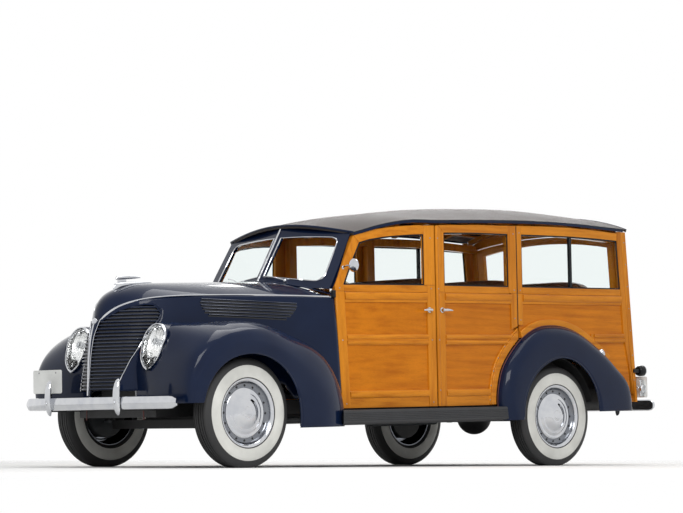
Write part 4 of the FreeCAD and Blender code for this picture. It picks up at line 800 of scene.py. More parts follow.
quarter_posts = [
    (OUT, 0.030, oblong(2.512, 2.560, 0.915, 1.135)),
    (OUT, 0.030, oblong(2.512, 2.558, 1.136, 1.609)),
    (-0.002, 0.026, [(corner(0.36, 0.022), 0.361), (corner(0.36, 0.002), 0.361), (corner(1.577, 0.002), 1.595),
                     (corner(1.577, 0.047), 1.596), (corner(0.85, 0.047), 0.85)]),
    (OUT, 0.028, [(corner(0.42, 0.034), 0.42), (corner(0.85, 0.048), 0.85), (corner(1.577, 0.048), 1.597),
                  (corner(1.577, 0.094), 1.598), (corner(0.85, 0.096), 0.85)]),
]
QUARTER_TOP = [(2.559, 1.609), (2.80, 1.612), (3.05, 1.611), (3.30, 1.602), (3.571, 1.585)]
quarter_rails = [
    (OUT, 0.030, [*QUARTER_TOP, (3.570, 1.531), (3.35, 1.542), (3.05, 1.549), (2.80, 1.550), (2.559, 1.549)]),
    (0.001, 0.030, oblong(2.561, corner(1.15, 0.097), 1.131, 1.178)),
    (0.001, 0.030, oblong(2.561, corner(1.10, 0.097), 1.062, 1.130)),
    (0.002, 0.030, oblong(3.270, corner(0.82, 0.097), 0.790, 0.856)),
]
crest_band = arch(0.002, 119.6, 33, 36, low=0.5) + arch(0.046, 35, 118.6, 36, low=0.5)
crest_band = [(max(x, 2.513), z) for x, z in crest_band]
made = boards("quarter_frame", "body", "frame_z", quarter_posts, side)
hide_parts("quarter_panels")
boards("quarter_rails", "body", "frame_x", quarter_rails, side)
boards("quarter_divider", "body", "black_gloss", [(0.006, 0.030, oblong(3.064, 3.086, 1.178, 1.560))], side)
# a black strip behind the rear door: partly its black rubber, partly painted shade of the gap
strips("door_gap", "body", "black_gloss",
       [([(QUARTER_X, 0.915), (QUARTER_X, 1.2), (QUARTER_X, 1.606)], 0.0055, -0.001, "flat")])
boards("quarter_panel", "body", "panel_x", [(0.010, 0.024, quarter_panel)], side, bevel=0.0)
boards("quarter_crest", "body", "frame_x", [(-0.005, 0.016, crest_band)], side, bevel=0.004)
strips("quarter_belt", "body", "frame_x", [
    ([(2.562, 1.104), (3.10, 1.104), (corner(1.104, 0.098), 1.104)], 0.050, 0.013, "round"),
    ([(3.30, 0.840), (3.45, 0.840), (corner(0.84, 0.098), 0.841)], 0.026, 0.010, "round"),
    ([(3.30, 0.806), (3.45, 0.806), (corner(0.806, 0.098), 0.805)], 0.026, 0.010, "round"),
])
twins("quarter_screws", "body", "steel", gather(
    studs([(2.536, z) for z in (0.95, 1.157, 1.56)]),
    studs([(corner(z, 0.022), z) for z in (0.52, 0.70, 0.88, 1.04, 1.20, 1.36, 1.52)], proud=0.002)))

# window channels, black, just outside the glass
CHANNELS = [
    ("door_front_", [(0.972, 1.182), (1.604, 1.182), (1.610, 1.523), (1.50, 1.518), (1.37, 1.508),
                     (1.20, 1.484), (1.131, 1.462)]),
    ("door_rear_", [(1.791, 1.181), (2.421, 1.181), (2.421, 1.545), (2.10, 1.546), (1.791, 1.538)]),
    ("body", [(2.561, 1.181), (3.595, 1.181), (3.567, 1.528), (3.05, 1.546), (2.561, 1.546)]),
]
for body, outline in CHANNELS:
    edges = zip(outline, outline[1:] + outline[:1])
    shapes = [moulding(edge, 0.012, -0.010, "flat", side, 6) for edge in edges]
    twins("window_channel_" + body.strip("_"), body, "black_gloss", gather(*shapes), weld=False)


# along a handle's lever: x, outwards, z, half thickness, half height
HANDLE = [(-0.006, 0.024, 0.0, 0.00675, 0.00855), (0.02, 0.030, 0.001, 0.0075, 0.0095),
          (0.05, 0.031, 0.0, 0.006375, 0.008075), (0.078, 0.028, -0.003, 0.002625, 0.003325)]
ROSE = [(0.019, 0.0), (0.018, 0.004), (0.012, 0.007), (0.010, 0.026), (0.0, 0.028)]
LEFT = (0, -1, 0)


def handle(x, z, reach):
    """A lever on a round rose; reach is its direction along the body."""
    y = -half_width(x, z)
    rose = lathe(ROSE, (x, y, z), LEFT, 24)
    loops = []
    for dx, out, dz, flat, tall in HANDLE:
        loops.append([(x + dx * reach, y - out + flat * a, z + dz + tall * b) for a, b in circle(1, 12)])
    return gather(rose, rings(loops))


twins("handle_front", "door_front_", "chrome", handle(1.641, 1.012, -1))
twins("handle_rear", "door_rear_", "chrome", handle(1.757, 1.012, 1))

# ---------------------------------------------------------------- nose, hood and cowl
EDGE_Z = [0.505, 0.70, 0.88, 0.915, 0.96, 1.015, 1.048]
EDGE_X = [-0.590, -0.500, -0.385, -0.345, -0.302, -0.290, -0.325]
# lower edge of the hood sides, raised where the steered tyre passes
APRON_X, APRON_Z = [0.06, 0.16, 0.50, 0.56], [0.500, 0.534, 0.534, 0.432]
TOP_X = [-0.66, -0.600, -0.575, -0.550, -0.510, -0.440, -0.380, -0.325, -0.298]
TOP_Z = [0.945, 0.945, 0.955, 0.980, 1.012, 1.043, 1.052, 1.048, 1.015]


def nose_patch(x_from, x_to, low, high, columns, rows):
    """Part of the nose's side between two heights that depend on x."""
    return rings([[nose_side(x, z) for z in np.linspace(low(x), high(x), rows)]
                  for x in np.linspace(x_from, x_to, columns)], closed=False)


def under_strip(x):
    return strip_z(x) - 0.004


def grille_edge(z):
    """Where the grille ends at a height, along x."""
    return float(np.interp(z, EDGE_Z, EDGE_X))


NOSE_SEAM = 0.892
nose_panel = gather(
    nose_patch(-0.590, -0.302, lambda x: 0.500, lambda x: float(np.interp(x, EDGE_X[:5], EDGE_Z[:5])), 20, 14),
    nose_patch(-0.302, NOSE_SEAM, lambda x: float(np.interp(x, APRON_X, APRON_Z)), lambda x: 0.96, 60, 14),
    rings([[nose_side(x, z) for x in np.linspace(grille_edge(z), NOSE_SEAM, 60)]
           for z in np.linspace(0.96, 1.048, 9)], closed=False),
    nose_patch(-0.325, NOSE_SEAM, lambda x: 1.048, under_strip, 60, 5),
    nose_patch(-0.586, -0.325, lambda x: float(np.interp(x, TOP_X, TOP_Z)), under_strip, 24, 5),
)
made = twins("nose_panel", "body", "navy", nose_panel, thick=-0.004)
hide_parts("nose_panels")


def grille_from(z):
    """Where the grille begins at a height: the centreline, or its own upper edge."""
    return -1.0 if z < 0.95 else float(np.interp(z, TOP_Z[2:7], TOP_X[2:7])) + 0.004


BAR_PITCH = 0.0225
BAR = [(0.012, -0.0045), (-0.0010, -0.0050), (-0.0030, -0.0025), (-0.0032, 0.0015), (-0.0015, 0.0045),
       (0.012, 0.0045)]
# painted highlight: a thin dark-chrome line along each navy bar's rounded top stands in for the highlight on
# that edge
bars, bar_highlights = [], []
for i in range(24):
    z = 0.516 + BAR_PITCH * i
    x_to = grille_edge(z) - 0.002
    path = nose_path(z, grille_from(z), x_to, 0.0, 22)[::-1]
    bars.append(sweep(path, BAR))
    bar_highlights.append(tube(nose_path(z + 0.0012, grille_from(z), x_to, 0.0030, 22), 0.0008, 6))
made = twins("grille_bars", "body", "navy", gather(*bars), sharp=30)
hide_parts("grille")
twins("grille_bar_edges", "body", "dark_chrome", gather(*bar_highlights))
# painted shade: a near-black sheet just behind the bars stands in for the shade behind the grille
shade_backing = []
for z in np.linspace(0.506, 1.048, 24):
    path = nose_path(z, grille_from(z) - 0.004, grille_edge(z), -0.012, 20)
    shade_backing.append([(x + 0.004, y, z) for x, y, z in path])
twins("grille_backing", "body", "recess", rings(shade_backing, closed=False), thick=-0.003)

strip_points = [(x, -read(HOOD, x)[0] - 0.001, strip_z(x)) for x in np.linspace(-0.586, 0.884, 70)]
FLAT_BEAD = [(0.003, 0.0), (0.0, 0.006), (-0.004, 0.0045), (-0.0055, 0.0), (-0.004, -0.0045), (0.0, -0.006)]
twins("hood_strip", "body", "chrome", sweep(strip_points, FLAT_BEAD))
centre_path = [(nose_x(z) - 0.004, 0, z) for z in np.linspace(0.475, 0.945, 24)]
centre_strip = sweep(centre_path, [(-0.009, -0.010), (-0.007, 0.002), (0.0, 0.006), (0.007, 0.002),
                                   (0.009, -0.010)], up=(-1, 0, 0))
latch = lathe([(0.022, -0.030), (0.023, -0.004), (0.020, 0.003), (0.012, 0.007), (0.0, 0.009)],
              (-0.606, 0, 0.952), (-0.9, 0, 0.43), 32)
piece("nose_centre_strip", "body", "chrome", gather(centre_strip, latch))
edge_path = [nose_side(grille_edge(z), z, -0.001) for z in np.linspace(0.505, 1.0, 30)]
top_path = [nose_side(x, float(np.interp(x, TOP_X, TOP_Z)), -0.001) for x in np.linspace(-0.31, -0.585, 24)]
twins("grille_surround", "body", "chrome", tube([point for point in edge_path if point[2] < 0.90], 0.0045, 8))
top_path = [point for point in edge_path if point[2] > 0.89] + top_path
twins("grille_top", "body", "navy", tube(top_path, 0.0045, 8))


def blade_half(z):
    """Half width of the painted blade down the middle of the grille."""
    return float(np.interp(z, [0.50, 0.70, 0.86, 0.93, 0.955], [0.004, 0.012, 0.024, 0.038, 0.046]))


blade, blade_edge = [], []
for z in np.linspace(0.500, 0.952, 24):
    half = blade_half(z)
    blade.append([(nose_x(z) - 0.0045 + half * 0.18 * (y * y), half * y, z) for y in np.linspace(0, -1, 7)])
    blade_edge.append((blade[-1][-1][0] + 0.001, -half - 0.001, z))
twins("nose_blade", "body", "navy", rings(blade, closed=False), thick=0.003)
twins("nose_blade_edge", "body", "chrome", tube(blade_edge, 0.0022, 8))

# in plan, how far the cowl's and the roof's front edges sweep back, and over what half width
COWL_BOW, ROOF_BOW, PLAN_HALF = 0.127, 0.092, 0.64
SINES = np.sin(np.linspace(-math.pi / 2, math.pi / 2, 41))
hood_rows = []
for u in np.linspace(0, 1, 60):
    row = []
    for v in SINES:
        x_end = 0.735 + COWL_BOW * (0.62 * v / PLAN_HALF) ** 2
        x = lerp(-0.588, x_end, u ** 1.25)
        half = read(HOOD, x)[0]
        row.append((x, half * v, hood_z(x, half * v)))
    hood_rows.append(row)
hood = piece("hood_panel", "hood", "navy", rings(hood_rows, closed=False), thick=0.006)
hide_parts("hood")

# painted shade: a thin near-black strip under each louvre blade stands in for the shade in its opening
blades, blade_edges, slot_shades = [], [], []
for i in range(6):
    share = i / 5
    round_off = 0.020 * (abs(share - 0.5) * 2) ** 3
    x_a, z_a = lerp(-0.008, -0.047, share) + round_off, lerp(0.984, 1.086, share)
    x_b, z_b = lerp(0.557, 0.632, share) - round_off, lerp(0.957, 1.054, share)
    path = [nose_side(lerp(x_a, x_b, t), lerp(z_a, z_b, t), -0.0005) for t in np.linspace(0, 1, 20)]
    blades.append(sweep(path, [(0.0, -0.005), (0.0055, -0.0035), (0.0075, 0.0), (0.005, 0.004), (0.0, 0.006),
                               (-0.003, 0.0)]))
    blade_edges.append(tube([(x, y - 0.0072, z + 0.0005) for x, y, z in path], 0.0011, 6))
    slot_shades.append(sweep([(x, y, z - 0.0095) for x, y, z in path],
                       oblong(0.0, 0.0008, -0.004, 0.004)))
twins("louvres", "body", "navy", gather(*blades))
twins("louvre_edges", "body", "dark_chrome", gather(*blade_edges))
twins("louvre_slots", "body", "recess", gather(*slot_shades))


COWL_EDGE = 1.09


def cowl_z(x, y):
    """The cowl's crown, an arc between its shoulders at the belt."""
    return arc_height(nose_half(x, COWL_EDGE), 1.113, read(HOOD, x)[2], y)


cowl_top = []
for u in np.linspace(0, 1, 16):
    row = []
    for v in SINES:
        x = lerp(0.741 + COWL_BOW * v * v, 0.893, u)
        half = nose_half(x, COWL_EDGE)
        row.append((x, half * v, cowl_z(x, half * v)))
    cowl_top.append(row)
cowl = piece("cowl_top", "body", "navy", rings(cowl_top, closed=False), thick=0.005)
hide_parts("cowl")
twins("cowl_hinge", "body", "black_gloss", box((0.868, -0.664, 1.092), (0.893, -0.640, 1.142)), bevel=0.004)
vent = [(0.80 - 0.022 * math.cos(a), 0.10 * math.sin(a)) for a in turns(32)]
vent_loops = [[(x + (0.80 - x) * s, y * (1 - s), cowl_z(x, y) + rise) for x, y in vent]
              for s, rise in ((0, -0.001), (0.0, 0.004), (0.12, 0.006), (0.98, 0.007))]
piece("cowl_vent", "body", "navy", rings(vent_loops))


# ---------------------------------------------------------------- windscreen
def screen(y, z, depth=0.0):
    """A place in the left half of the windscreen: depth runs rearwards."""
    return (0.808 + 0.186 * abs(y) + 0.604 * (z - 1.255) + depth, -abs(y), z)


PANE = [(0.030, 1.2575), (0.250, 1.2350), (0.470, 1.2110), (0.500, 1.2105), (0.522, 1.2180), (0.538, 1.2300),
        (0.548, 1.2460), (0.543, 1.320), (0.533, 1.4520), (0.528, 1.472), (0.516, 1.4890), (0.498, 1.500),
        (0.474, 1.5060), (0.360, 1.514), (0.250, 1.5200), (0.120, 1.5225), (0.034, 1.5230), (0.031, 1.39)]
FRAME = [(0.0, 1.200), (0.250, 1.182), (0.480, 1.163), (0.560, 1.157), (0.600, 1.153), (0.630, 1.151),
         (0.634, 1.170), (0.628, 1.300), (0.606, 1.520), (0.600, 1.528), (0.570, 1.537), (0.540, 1.543),
         (0.506, 1.5500), (0.400, 1.5665), (0.300, 1.577), (0.150, 1.5895), (0.0, 1.5940), (0.0, 1.39)]
SLAB = 0.0255
frame_loops = [[screen(y, z, depth) for y, z in outline]
               for outline, depth in ((FRAME, 0.0), (PANE, 0.0), (PANE, SLAB), (FRAME, SLAB))]
twins("windscreen_frame", "body", "navy", rings(frame_loops, capped=False), sharp=40, bevel=0.003)
bead = [screen(y, z, -0.001) for y, z in PANE]
twins("windscreen_bead", "body", "chrome", tube(bead + bead[:2], 0.0048, 8))
rod = [screen(0, z, -0.003) for z in np.linspace(1.215, 1.594, 8)]
piece("windscreen_rod", "body", "chrome", tube(rod, 0.008, 12))
wipers = []
for y_pivot, y_tip, way in ((0.22, 0.40, -1), (0.24, 0.04, 1)):
    foot, tip = Vector(screen(y_pivot, 1.222, -0.012)), Vector(screen(y_tip, 1.262, -0.014))
    foot.y *= way
    tip.y *= way
    pivot = [(0.012, -0.012), (0.012, 0.004), (0.007, 0.009), (0.0, 0.010)]
    wipers.append(lathe(pivot, foot, (-0.85, 0, 0.52), 16))
    bend = lerp(foot, tip, 0.5) + Vector((-0.010, 0, 0.008))
    wipers.append(tube([foot + Vector((-0.006, 0, 0.004)), bend, tip], 0.0035, 8))
piece("wipers", "body", "chrome", gather(*wipers))


# ---------------------------------------------------------------- roof
def roof_z(x, y, drop=0.0):
    half, edge, crown = read(ROOF, x)
    return arc_height(half, edge, crown, min(abs(y), half)) - drop


def roof_net(x_from, x_to, drop, columns, rows=45, reach=1.0):
    """Rows of points across the roof between two plan curves x(y)."""
    loops = []
    for u in np.linspace(0, 1, columns):
        row = []
        for v in np.sin(np.linspace(-math.pi / 2, math.pi / 2, rows)) * reach:
            x = lerp(x_from(abs(PLAN_HALF * v)), x_to(abs(v)), u)
            y = read(ROOF, x)[0] * v
            row.append((x, y, roof_z(x, y, drop)))
        loops.append(row)
    return loops


def front_curve(offset):
    return lambda y: 0.990 + offset + ROOF_BOW * (y / PLAN_HALF) ** 2


def rear_curve(middle):
    return lambda share: middle - 0.035 * share ** 4


header = roof_net(front_curve(0.0), lambda v: 1.004 + ROOF_BOW * v * v, 0.0, 3)
piece("roof_header", "body", "navy", rings(header, closed=False), thick=0.006)
skin = roof_net(front_curve(0.012), rear_curve(3.704), 0.0, 72)
first, last = ([(x, y, z - 0.020) for x, y, z in row] for row in (skin[0], skin[-1]))
fabric = rings([first, *skin, last], closed=False)
roof = piece("roof_fabric", "body", "roof_cloth", fabric, sharp=60, thick=0.004)
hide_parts("roof")
left_edge = [(row[0][0], row[0][1] + 0.001, row[0][2] - 0.006) for row in skin[::2]]
rail_section = [(-0.004, -0.015), (0.0, -0.016), (0.0020, -0.010), (0.0026, -0.002), (0.001, 0.002),
                (-0.004, 0.003)]
twins("drip_rail", "body", "navy", sweep(left_edge, rail_section))
twins("roof_bead", "body", "black_gloss", tube([(x, y, z + 0.004) for x, y, z in left_edge], 0.0028, 8))
front_bead = [(x - 0.001, y, z + 0.001) for x, y, z in skin[0]]
rear_bead = [(x, y, z - 0.002) for x, y, z in skin[-1]]
piece("roof_end_beads", "body", "navy", gather(tube(front_bead, 0.0055, 8), tube(rear_bead, 0.0055, 8)))

liner = roof_net(front_curve(0.030), rear_curve(3.690), 0.013, 40, 33, 0.985)
piece("roof_liner", "body", "liner", rings(liner, closed=False))
slats = []
for y in np.linspace(-0.66, 0.66, 15):
    shares = [(x, y * read(ROOF, x)[0] / 0.79) for x in np.linspace(1.16, 3.66, 20)]
    path = [(x, y_here, roof_z(x, y_here, 0.020)) for x, y_here in shares]
    slats.append(sweep(path, oblong(-0.042, 0.042, -0.004, 0.004)))
bows = []
for x in (1.45, 1.82, 2.30, 2.78, 3.26, 3.60):
    half = read(ROOF, x)[0] - 0.06
    bows.append(sweep([(x, y, roof_z(x, y, 0.040)) for y in np.linspace(-half, half, 20)],
                      oblong(-0.022, 0.022, -0.016, 0.014)))
slat_shape, bow_shape = gather(*slats), gather(*bows)
piece("roof_slats", "body", "panel_x", slat_shape,
      tones=[0.1 + 0.06 * (i // 80 % 9) for i in range(len(slat_shape[0]))], weld=False)
piece("roof_bows", "body", "frame_y", bow_shape, tones=[0.3] * len(bow_shape[0]), bevel=0.002, weld=False)

# ---------------------------------------------------------------- fenders
FRONT_OUT, REAR_OUT = 0.850, 0.875
# the lamp's middle, and the foot (x, z) and lean of the plane that its rim lies in
LAMP_Y, LAMP_Z = -0.395, 0.800
LAMP_LOW, LAMP_LEAN = (-0.492, 0.640), 0.318
AHEAD, BEHIND, BELOW = (1, 0, 0), (-1, 0, 0), (0, 0, -1)


def lamp_outline():
    """The lamp's teardrop outline (y, z) about its middle."""
    top = [(0.100 * math.cos(a), 0.012 + 0.106 * math.sin(a)) for a in np.linspace(0, math.pi, 25)]
    left = spline([(-0.100, 0.012), (-0.081, -0.084), (-0.040, -0.136), (0.0, -0.160)], 13)[1:]
    return top + [tuple(point) for point in left] + [(-y, z) for y, z in left[-2::-1]]


LAMP_TURNS, LAMP_REACHES = zip(*sorted((math.atan2(z, y), math.hypot(y, z)) for y, z in lamp_outline()))


def opened(shape, scale):
    """A fender's surface without the faces behind its headlight."""
    def behind_lamp(x, y, z):
        y, z = y - LAMP_Y, z - LAMP_Z
        return x < -0.2 and math.hypot(y, z) < scale * np.interp(math.atan2(z, y), LAMP_TURNS, LAMP_REACHES)

    verts, faces = shape
    hidden = [behind_lamp(*vert) for vert in verts]
    return verts, [face for face in faces if not any(hidden[i] for i in face)]


def trimmed(shape, *planes):
    """A shape without what lies beyond planes, each given by a way and how far along its axis it stands."""
    for way, place in planes:
        shape = cut_at(shape, [abs(n) * place for n in way], way, clear=True)
    return shape


def first_outside(row):
    """Where a front fender's section comes out of the nose or cowl."""
    for x, y, z in row[1:]:
        if -y > nose_half(x, min(z, 1.1)) or x > COWL:
            return x, y, z
    return row[-1]


def edged(name, rows, hub_x, low_ahead, low_behind, joint):
    """A fender's rolled lip above its cut ends, and the seam along its joint with the body."""
    lip = [row[-1] for row in rows if row[-1][2] > (low_ahead if row[-1][0] < hub_x else low_behind)]
    twins(name + "_bead", "body", "navy", tube([(x, y + 0.004, z) for x, y, z in lip], 0.0055, 8))
    twins(name + "_seam", "body", "seam", tube(joint, 0.0045, 8))


fender_rows = fan(FRONT_HUB, FRONT_FENDER, FRONT_OUT, 130, 44)
front_fender = trimmed(rings(fender_rows, closed=False), (BELOW, 0.2445), (AHEAD, 0.883))
nose_part = trimmed(front_fender, (AHEAD, -0.30), (BELOW, 0.416))
front_fender = gather(trimmed(front_fender, (BEHIND, -0.30)), nose_part)
made = twins("fender_front", "body", "navy", opened(front_fender, 0.86), thick=0.006)
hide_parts("front_fenders")
joint = [first_outside(row) for row in fender_rows]
joint = [(x, y - 0.001, z + 0.001) for x, y, z in joint if -0.45 < x < 0.86 and y > -0.75]
edged("fender_front", fender_rows, 0.0, 0.42, 0.25, joint)

rear_rows = fan(REAR_HUB, REAR_FENDER, REAR_OUT, 90, 24)
rear_fender = trimmed(rings(rear_rows, closed=False), (BELOW, 0.2545))
front_half = trimmed(rear_fender, (AHEAD, REAR_HUB.x))
rear_half = trimmed(rear_fender, (BEHIND, REAR_HUB.x), (BELOW, 0.299))
made = twins("fender_rear", "body", "navy", gather(front_half, rear_half), thick=0.006)
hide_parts("rear_fenders")
joint = [(x, -0.7885, z) for x, z in arch(0.001, 183, 3, 60, low=0.30)]
edged("fender_rear", rear_rows, REAR_HUB.x, 0.26, 0.30, joint)
# painted shade: a near-black sheet inside the rear fender, behind the wheel, stands in for the shade in the
# fender well
fender_well_shade = [[(x, -0.640 + 0.25 * (z - 0.47) ** 2, z) for z in np.linspace(0.305, 0.660, 7)]
         for x in np.linspace(3.255, 3.655, 9)]
twins("rear_apron", "body", "recess", rings(fender_well_shade, closed=False), thick=0.003)
cap_angle = math.radians(40)
cap_at = rear_rows[20][5]
cap_out = Vector((math.cos(cap_angle) * 0.75, -0.55, math.sin(cap_angle) * 0.75))
piece("filler_cap", "body", "chrome", lathe([(0.030, -0.012), (0.031, 0.004), (0.028, 0.010), (0.020, 0.012),
                                             (0.018, 0.0145), (0.0, 0.016)], cap_at, cap_out, 32))


# ---------------------------------------------------------------- headlights
def lamp_plane(y, z, depth, rise=0):
    """A place behind the plane that the lamp's rim lies in; y is from the lamp's middle."""
    return LAMP_LOW[0] + LAMP_LEAN * (z - LAMP_LOW[1]) + depth, LAMP_Y + y, z + rise


def lamp_loops(*steps):
    """The lamp's outline: steps of scale, how far back and how far up."""
    return [[lamp_plane(y * scale, LAMP_Z + z * scale, depth, sum(rise)) for y, z in lamp_outline()]
            for scale, depth, *rise in steps]


pod = lamp_loops((1.085, 0.004), (1.095, 0.020), (1.08, 0.060), (1.02, 0.12, 0.010), (0.90, 0.19, 0.026),
                 (0.74, 0.26, 0.044), (0.54, 0.33, 0.058), (0.30, 0.39, 0.068), (0.05, 0.43, 0.072))
pod = [spline(line, 24) for line in zip(*pod)]
twins("headlight_pod", "body", "navy", rings(list(zip(*pod)), capped=False))
rim = lamp_loops((1.09, 0.004), (1.088, -0.006), (1.06, -0.011), (1.02, -0.010), (0.99, -0.004), (0.985, 0.006))
rims = twins("headlight_rim", "body", "chrome", rings(rim, capped=False))
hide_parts("headlights")
lens = lamp_loops((0.995, -0.001), (0.96, -0.010), (0.88, -0.0175), (0.72, -0.0235), (0.50, -0.0275),
                  (0.25, -0.0295), (0.02, -0.030))
twins("headlight_lens", "body", "lens", rings(lens, capped=False))
bowl = lamp_loops((0.99, 0.004), (0.86, 0.030), (0.66, 0.052), (0.40, 0.066), (0.12, 0.072), (0.02, 0.073))
twins("headlight_bowl", "body", "mirror_face", rings(bowl, capped=False))
flutes = []
for y in np.linspace(-0.075, 0.075, 9):
    reach = 0.080 * math.sqrt(max(0.0, 1 - (y / 0.098) ** 2))
    heights = np.linspace(0.805 - reach * (1.0 - abs(y) * 3), 0.812 + reach, 8)
    line = [lamp_plane(y, z, 0.003) for z in heights]
    flutes.append(tube(line, 0.0016, 6))
twins("headlight_flutes", "body", "lens", gather(*flutes))
bulb = lathe([(0.020, -0.030), (0.020, -0.004), (0.024, 0.000), (0.022, 0.012), (0.014, 0.022), (0.0, 0.025)],
             (-0.400, LAMP_Y, LAMP_Z), (-0.95, 0, 0.30), 24)
twins("headlight_bulb", "body", "chrome", bulb)

# ---------------------------------------------------------------- running boards and bumpers
profile = [(-0.642, 0.262), (-0.642, 0.340)]
for i in range(15):
    y = -0.655 - 0.0118 * i
    profile += [(y, 0.3445), (y - 0.002, 0.3505), (y - 0.0075, 0.3505), (y - 0.0095, 0.3445)]
profile += [(-0.834, 0.3445), (-0.8400, 0.3500), (-0.8450, 0.3460), (-0.8458, 0.338)]
for z in np.arange(0.330, 0.275, -0.0115):
    profile += [(-0.8458, z), (-0.8438, z - 0.0015), (-0.8438, z - 0.0040), (-0.8458, z - 0.0055)]
profile += [(-0.8458, 0.270), (-0.838, 0.260), (-0.800, 0.2515), (-0.680, 0.2515)]


def board_point(y, z, share):
    """The boards' ends slant behind the front fender and tuck round the rear one."""
    start = lerp(0.772, 0.902, min(1.0, (0.846 + y) / 0.156))
    end = lerp(2.285, 2.372, max(0.0, (-y - 0.785) / 0.061))
    return lerp(start, end, share), y, z


board = rings([[board_point(y, z, share) for y, z in profile] for share in np.linspace(0, 1, 6)])
made = twins("running_board", "body", "rubber", board, sharp=25)
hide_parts("running_boards")
brackets = [box((x, -0.645, 0.272), (x + 0.045, -0.390, 0.330)) for x in (1.002, 1.552, 2.152)]
twins("running_board_brackets", "body", "frame_black", gather(*brackets), bevel=0.006)
BAR_HALF, GUARD_Y, IRON_Y = 0.775, 0.355, 0.3675
BAR_EDGE = [(-0.014, 0.041), (-0.0065, 0.0385), (-0.0030, 0.028), (-0.0015, 0.012), (0.0, 0.004)]
BUMPER_BAR = [(-0.020, -0.034), *[(a, -b) for a, b in BAR_EDGE], *reversed(BAR_EDGE), (-0.020, 0.034),
              (-0.018, 0.0)]
# half of a guard from its tip to its middle: distance from the middle, half width, how far it stands out
GUARD_TIP = [(0.1135, 0.006, 0.006), (0.105, 0.0155, 0.016), (0.085, 0.0205, 0.026), (0.045, 0.0228, 0.038)]
GUARD = [*[(-z, half, out) for z, half, out in GUARD_TIP], (0.0, 0.0230, 0.0415), *reversed(GUARD_TIP)]


def bumper(name, nose_x, outward, z_middle, bow, iron_z, iron_from, iron_to):
    """A bowed bar with two pointed guards and its irons; outward is -1 at the front."""
    radius = (bow * bow + BAR_HALF ** 2) / (2 * bow)
    path = [(nose_x - outward * (radius - math.sqrt(radius * radius - y * y)), y, z_middle)
            for y in np.linspace(BAR_HALF, -BAR_HALF, 61) * -outward]
    verts, faces = sweep(path, BUMPER_BAR)
    count = len(BUMPER_BAR)
    for ring, height in ((0, 0.55), (1, 0.92), (59, 0.92), (60, 0.55)):
        for i in range(ring * count, (ring + 1) * count):
            x, y, z = verts[i]
            verts[i] = (x, y, z_middle + (z - z_middle) * height)
    shapes, bolts = [(verts, faces)], []
    for y in (-GUARD_Y, GUARD_Y):
        base = nose_x - outward * bow * (y / BAR_HALF) ** 2
        loops = []
        for dz, half, out in GUARD:
            edge = [(0.007, 1.0), (out * 0.45, 1.0), (out * 0.82, 0.78), (out, 0.35)]
            loops.append([(base + outward * (a - 0.007), y + half * b, z_middle + 0.038 + dz)
                          for a, b in [*[(a, -b) for a, b in edge], *reversed(edge)]])
        shapes.append(rings(loops))
        bolts.append(lathe([(0.010, -0.004), (0.010, 0.001), (0.007, 0.0035), (0.0, 0.0045)],
                           (base + outward * 0.0335, y, z_middle + 0.003), (outward, 0, 0), 20))
    made = piece(name + "_bar", "body", "chrome", gather(*shapes), sharp=40)
    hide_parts(name)
    piece(name + "_bolts", "body", "chrome", gather(*bolts))
    irons = [box((iron_from, y - 0.014, iron_z), (iron_to, y + 0.014, iron_z + 0.034))
             for y in (-IRON_Y, IRON_Y)]
    piece(name + "_irons", "body", "frame_black", gather(*irons), bevel=0.004)


bumper("front_bumper", -0.735, -1, 0.424, 0.155, 0.374, -0.687, -0.428)
bumper("rear_bumper", 4.040, 1, 0.335, 0.080, 0.320, 3.692, 4.012)


def plate(x, y, z, outward):
    """A blank plate with a raised rim and two bolts."""
    half_wide, half_high, round_off = 0.1525, 0.076, 0.012
    loops = []
    for inset, out in ((0.0, 0.0), (0.0, 0.0022), (0.004, 0.003), (0.008, 0.0022), (0.010, 0.0015)):
        loop = []
        for i, (cx, cz) in enumerate(((1, 1), (-1, 1), (-1, -1), (1, -1))):
            for a in np.linspace(i, i + 1, 5) * math.pi / 2:
                loop.append((x + outward * out,
                             y + cx * (half_wide - round_off) + (round_off - inset) * math.cos(a),
                             z + cz * (half_high - round_off) + (round_off - inset) * math.sin(a)))
        loops.append(loop)
    bolts = [lathe([(0.006, -0.003), (0.006, 0.0015), (0.003, 0.003), (0.0, 0.0032)],
                   (x + outward * 0.001, y + dy, z + 0.058), (outward, 0, 0), 12) for dy in (-0.09, 0.09)]
    return rings(loops), gather(*bolts)


front_plate, front_bolts = plate(-0.6716, 0.415, 0.570, -1)
rear_plate, rear_bolts = plate(3.8002, -0.690, 0.468, 1)
made = piece("plates", "body", "plate", gather(front_plate, rear_plate), sharp=25)
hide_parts("licence_plates")
piece("plate_bolts", "body", "steel", gather(front_bolts, rear_bolts))
piece("plate_brackets", "body", "frame_black", gather(
    box((-0.6710, 0.385, 0.440), (-0.664, 0.445, 0.590)), box((3.742, -0.720, 0.516), (3.800, -0.680, 0.532))),
    bevel=0.002)
piece("plate_lamp", "body", "chrome", gather(
    lathe([(0.030, 0.0), (0.031, 0.010), (0.027, 0.016), (0.020, 0.0155), (0.016, 0.013), (0.0, 0.012)],
          (3.784, -0.812, 0.455), (0, -1, 0), 32),
    box((3.756, -0.812, 0.400), (3.798, -0.806, 0.520)), box((3.742, -0.806, 0.462), (3.790, -0.784, 0.474))),
    bevel=0.002)
TAIL_LAMP = ((3.7725, -0.780, 0.586), (1, 0, 0), 40)
made = piece("tail_lamp_housing", "body", "black_gloss", gather(
    lathe([(0.0, -0.001), (0.030, 0.0), (0.036, 0.006), (0.0395, 0.020), (0.0395, 0.050), (0.036, 0.053)],
          *TAIL_LAMP),
    box((3.712, -0.7985, 0.572), (3.782, -0.786, 0.600))), bevel=0.001)
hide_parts("tail_lamp")
